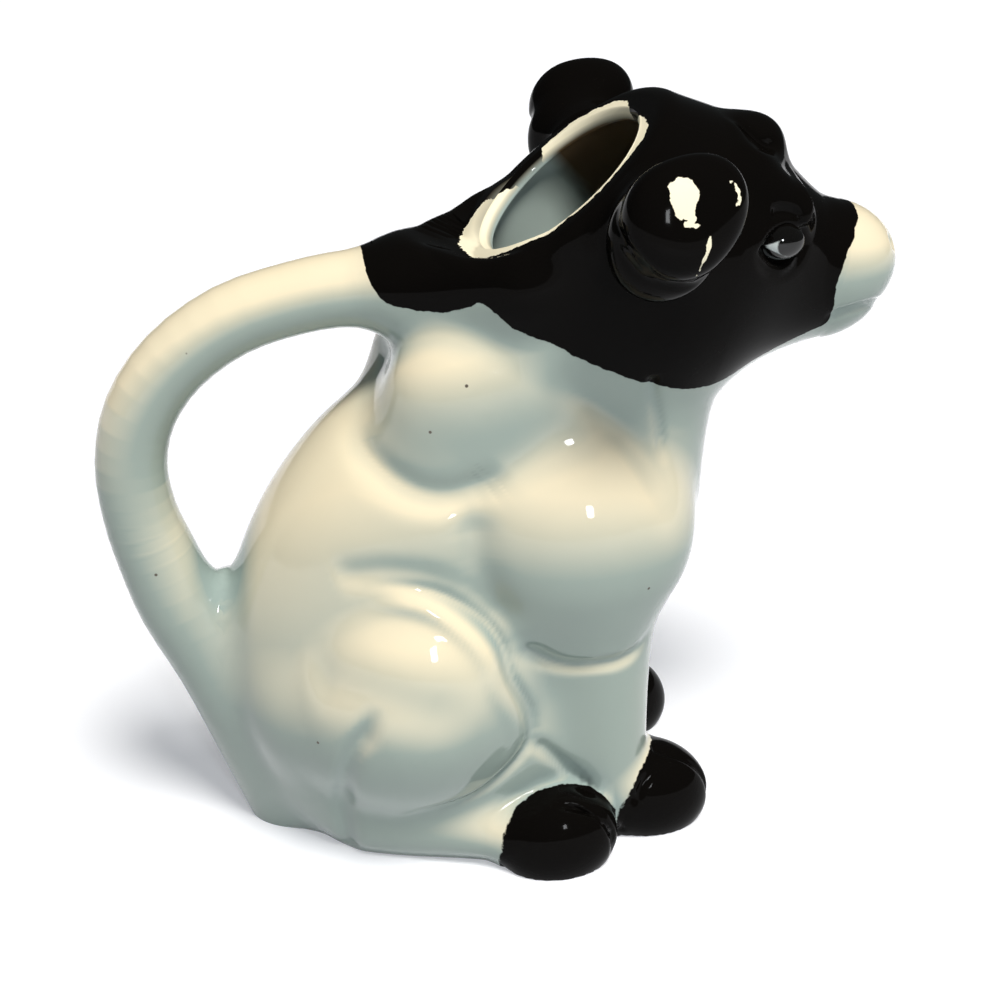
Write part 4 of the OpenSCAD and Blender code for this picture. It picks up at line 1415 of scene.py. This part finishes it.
class JugSizes(PropertyGroup):
    """Sizes of the jug."""

    figure_h: a_length("Figure height", FIGURE_H, "Height that the figure is proportioned to")
    figure_w: a_length("Figure width", 0.06,
                       "Width over the haunches, from which the places across the body follow")
    wall: a_length("Wall", 0.0036, "Thickness of the fired wall")
    floor_t: a_length("Floor", 0.005, "Thickness of the floor inside the jug")
    foot_recess: a_length("Foot recess", 0.001, "Depth of the recess inside the foot ring")
    foot_ring_w: a_length("Foot ring", 0.004, "Width of the ring that the jug stands on")
    foot_edge: a_length("Foot edge", 0.001, "Rounding of the lower edge")
    filler_d: a_length("Filling hole", 0.031, "Clear diameter of the filling hole")
    filler_tilt: an_angle("Rim tilt", 39.6, "Backward tilt of the rim")
    lip_w: a_length("Rim bevel", 0.0008, "Width of the bevel round the inside of the rim")
    lip_t: a_length("Lip", 0.0018, "Thickness of the lip under the rim")
    mouth_w: a_length("Mouth width", 0.011, "Width of the slot between the lips")
    mouth_h: a_length("Mouth height", 0.0036, "Height of the slot between the lips")
    handle_d: a_length("Handle", 0.012, "Thickness of the handle at its slimmest")
    ear_l: a_length("Ear", 0.017, "Length of an ear from front to back")
    fore_hoof_l: a_length("Fore hoof", 0.025, "Length of a fore hoof")
    hind_hoof_l: a_length("Hind hoof", 0.022, "Length of a hind hoof")
    eye_l: a_length("Eye", 0.0076, "Length of an eye")
    hoof_paint: a_length("Hoof paint", 0.0008, "How far the black glaze runs past a hoof")


class GlazeColours(PropertyGroup):
    """Colours of the glazes and of the body where they are worn away."""

    cream: a_colour("Cream", (0.86, 0.775, 0.6), "Cream glaze")
    cream_warm: a_colour("Warm cream", (0.88, 0.775, 0.56), "Cream glaze where it is warmer")
    # painted shade: the darker, cooler cream of steep sides
    steep_shade: a_colour("Cool", (0.37, 0.445, 0.405), "Cream glaze where it lies thick on steep sides")
    # pooled glaze with painted shade in the hollows
    pooled_and_shaded: a_colour("Pooled", (0.34, 0.42, 0.4), "Cream glaze where it has pooled in hollows")
    # painted shade: the glaze inside the jug, darker and cooler than the cream
    inside: a_colour("Inside", (0.47, 0.57, 0.55), "Glaze inside the jug")
    # painted shadow: the brown inside the head, in front of the filling hole
    inside_shadow: a_colour("Brown inside", (0.13, 0.085, 0.045),
                           "Stained glaze inside the head, in front of the filling hole")
    speck: a_colour("Speck", (0.12, 0.1, 0.08), "Pinholes and specks in the cream glaze")
    black: a_colour("Black", (0.0035, 0.003, 0.0027), "Black glaze")
    # also the colour of the painted highlights along the right ear's front edge
    bare_and_glint: a_colour("Chip", (1.0, 0.93, 0.72), "Fired body where the black has flaked away")
    eye_white: a_colour("Eye white", (0.55, 0.6, 0.6), "White of the eye")
    eye_lid: a_colour("Eyelid", (0.12, 0.13, 0.13), "Worn edge of the lower eyelid")


class StageSettings(PropertyGroup):
    """Floor, lamps and camera."""

    floor: a_colour("Floor", (0.7, 0.72, 0.78), "Colour of the floor")
    bounce: a_colour("Bounce", (0.42, 0.44, 0.47), "Colour of the light that the floor throws back")
    glow: a_colour("Glow", (0.33, 0.33, 0.34), "Light that the floor gives to the camera by itself")
    sky: FloatProperty(name="Sky", default=0.08, description="Strength of the even light all round")
    view_up: an_angle("Camera elevation", 28, "Height of the camera over the horizon")
    view_round: an_angle("Camera azimuth", -10, "Turn of the camera from the jug's right side")
    view_far: a_length("Camera distance", 0.26786,
                       "Distance of the camera from the middle of the view")
    view_middle: a_length("View middle", 0.062, "Height of the middle of the view")
    lens: FloatProperty(name="Lens", default=54, description="Focal length in millimetres")


# half the floor's width, the camera's sensor in millimetres, and where its view begins
FLOOR_REACH = 3.0
SENSOR_W = 36
VIEW_FROM = 0.01
SKY_TINT = (0.82, 0.95, 1.0, 1.0)
# suns: name, direction that they shine from, angle in degrees, strength and tint
SUNS = [
    ("key", (0.12, -0.36, 0.93), 18, 3.3, (1.0, 0.96, 0.88)),
    ("fill", (0.12, -0.95, 0.22), 40, 0.35, (0.9, 0.98, 1.0)),
]
# lamps: name, place, width and height, power in watts and tint
LAMPS = [
    ("front", (0.1, -0.62, 0.3), 0.05, 0.1, 0.8, (0.95, 0.98, 1.0)),
]


def facing(back):
    """The turn of a lamp or a camera whose back is on this side."""
    return back.to_track_quat("Z", "Y").to_euler()


def build_floor(stage):
    """A square of paper under the jug."""
    r = FLOOR_REACH
    mesh = bpy.data.meshes.new("floor")
    mesh.from_pydata([(-r, -r, 0), (r, -r, 0), (r, r, 0), (-r, r, 0)], [], [(0, 1, 2, 3)])
    mesh.materials.append(floor_material(stage))
    floor = in_scene("floor", mesh)


def build_camera(stage, middle):
    """The camera, which looks at the middle of the view from its elevation and azimuth."""
    up, turn = stage.view_up, stage.view_round
    back = Vector((np.sin(turn) * np.cos(up), -np.cos(turn) * np.cos(up), np.sin(up)))
    data = bpy.data.cameras.new("camera")
    data.lens = stage.lens
    data.sensor_width = SENSOR_W
    data.clip_start = VIEW_FROM
    camera = in_scene("camera", data)
    camera.location = middle + back * stage.view_far
    camera.rotation_euler = facing(back)
    bpy.context.scene.camera = camera


def add_light(name, kind, place, tint, target):
    """A light that looks at the target."""
    data = bpy.data.lights.new(name, kind)
    data.color = tint
    lamp = in_scene(name, data)
    lamp.location = place
    lamp.rotation_euler = facing(Vector(place) - target)
    lamp.visible_glossy = kind != "SUN"
    return data


def build_lights(stage, middle):
    """The suns, the lamps and the even light of the sky."""
    for name, place, spread, strength, tint in SUNS:
        sun = add_light(name, "SUN", place, tint, Vector())
        sun.angle = np.radians(spread)
        sun.energy = strength
    for name, place, wide, high, power, tint in LAMPS:
        lamp = add_light(name, "AREA", place, tint, middle)
        lamp.shape = "RECTANGLE"
        lamp.size, lamp.size_y = wide, high
        lamp.energy = power
    world = bpy.data.worlds.new("sky")
    world.use_nodes = True
    sky = world.node_tree.nodes["Background"]
    sky.inputs[0].default_value = SKY_TINT
    sky.inputs[1].default_value = stage.sky
    bpy.context.scene.world = world


class PieceOperator:
    """What the piece operators share: the figure worked out from the sizes, and the glaze,
    which is made on first use."""

    bl_options = {"REGISTER", "UNDO"}

    def build(self, context, *makers):
        """Calls the makers with the figure and the painted glaze."""
        figure = Figure(context.scene.milk_jug_sizes)
        glaze = (bpy.data.materials.get("painted_glaze")
                 or glaze_material(context.scene.milk_jug_colours))
        for maker in makers:
            maker(figure, glaze)
        return {"FINISHED"}


class MILKJUG_OT_body(PieceOperator, Operator):
    """Build the torso shell with its foot"""

    bl_idname = "milk_jug.body"
    bl_label = "Torso"

    def execute(self, context):
        return self.build(context, build_torso)


class MILKJUG_OT_head(PieceOperator, Operator):
    """Build the head shell, the muzzle and the lip of the filling hole"""

    bl_idname = "milk_jug.head"
    bl_label = "Head"

    def execute(self, context):
        return self.build(context, build_head, build_muzzle, build_lip)


class MILKJUG_OT_handle(PieceOperator, Operator):
    """Build the handle"""

    bl_idname = "milk_jug.handle"
    bl_label = "Handle"

    def execute(self, context):
        return self.build(context, build_handle)


class MILKJUG_OT_ears(PieceOperator, Operator):
    """Build the ears"""

    bl_idname = "milk_jug.ears"
    bl_label = "Ears"

    def execute(self, context):
        return self.build(context, build_ears)


class MILKJUG_OT_hooves(PieceOperator, Operator):
    """Build the hooves"""

    bl_idname = "milk_jug.hooves"
    bl_label = "Hooves"

    def execute(self, context):
        return self.build(context, build_hooves)


class MILKJUG_OT_eyes(PieceOperator, Operator):
    """Build the eyes"""

    bl_idname = "milk_jug.eyes"
    bl_label = "Eyes"

    def execute(self, context):
        return self.build(context, build_eyes)


class MILKJUG_OT_stage(Operator):
    """Build the floor, the lamps, the sky and the camera"""

    bl_idname = "milk_jug.stage"
    bl_label = "Stage"

    def execute(self, context):
        stage = context.scene.milk_jug_stage
        middle = Vector((0, 0, stage.view_middle))
        build_floor(stage)
        build_camera(stage, middle)
        build_lights(stage, middle)
        context.scene.view_settings.view_transform = "Standard"
        return {"FINISHED"}


class MILKJUG_PT_panel(Panel):
    """Sidebar panel that lists the operators and the sizes."""

    bl_idname = "MILKJUG_PT_panel"
    bl_label = "Milk Jug"
    bl_space_type = "VIEW_3D"
    bl_region_type = "UI"
    bl_category = "Milk Jug"

    def draw(self, context):
        for operator in OPERATORS:
            self.layout.operator(operator.bl_idname)
        for name in SETTINGS:
            group = getattr(context.scene, name)
            for key in group.__annotations__:
                self.layout.prop(group, key)


OPERATORS = (MILKJUG_OT_body, MILKJUG_OT_head, MILKJUG_OT_handle, MILKJUG_OT_ears,
             MILKJUG_OT_hooves, MILKJUG_OT_eyes, MILKJUG_OT_stage)
SETTINGS = {"milk_jug_sizes": JugSizes, "milk_jug_colours": GlazeColours,
            "milk_jug_stage": StageSettings}
CLASSES = (*SETTINGS.values(), *OPERATORS, MILKJUG_PT_panel)


def register():
    """Registers the classes and hangs the settings on the scene."""
    for item in CLASSES:
        bpy.utils.register_class(item)
    for name, group in SETTINGS.items():
        setattr(bpy.types.Scene, name, PointerProperty(type=group))


def unregister():
    """Takes the settings and the classes away again."""
    for name in SETTINGS:
        delattr(bpy.types.Scene, name)
    for item in reversed(CLASSES):
        bpy.utils.unregister_class(item)


def main():
    """Builds the jug and its stage."""
    register()
    bpy.ops.milk_jug.stage()
    bpy.ops.milk_jug.body()
    bpy.ops.milk_jug.head()
    bpy.ops.milk_jug.handle()
    bpy.ops.milk_jug.ears()
    bpy.ops.milk_jug.hooves()
    bpy.ops.milk_jug.eyes()


if __name__ == "__main__":
    main()
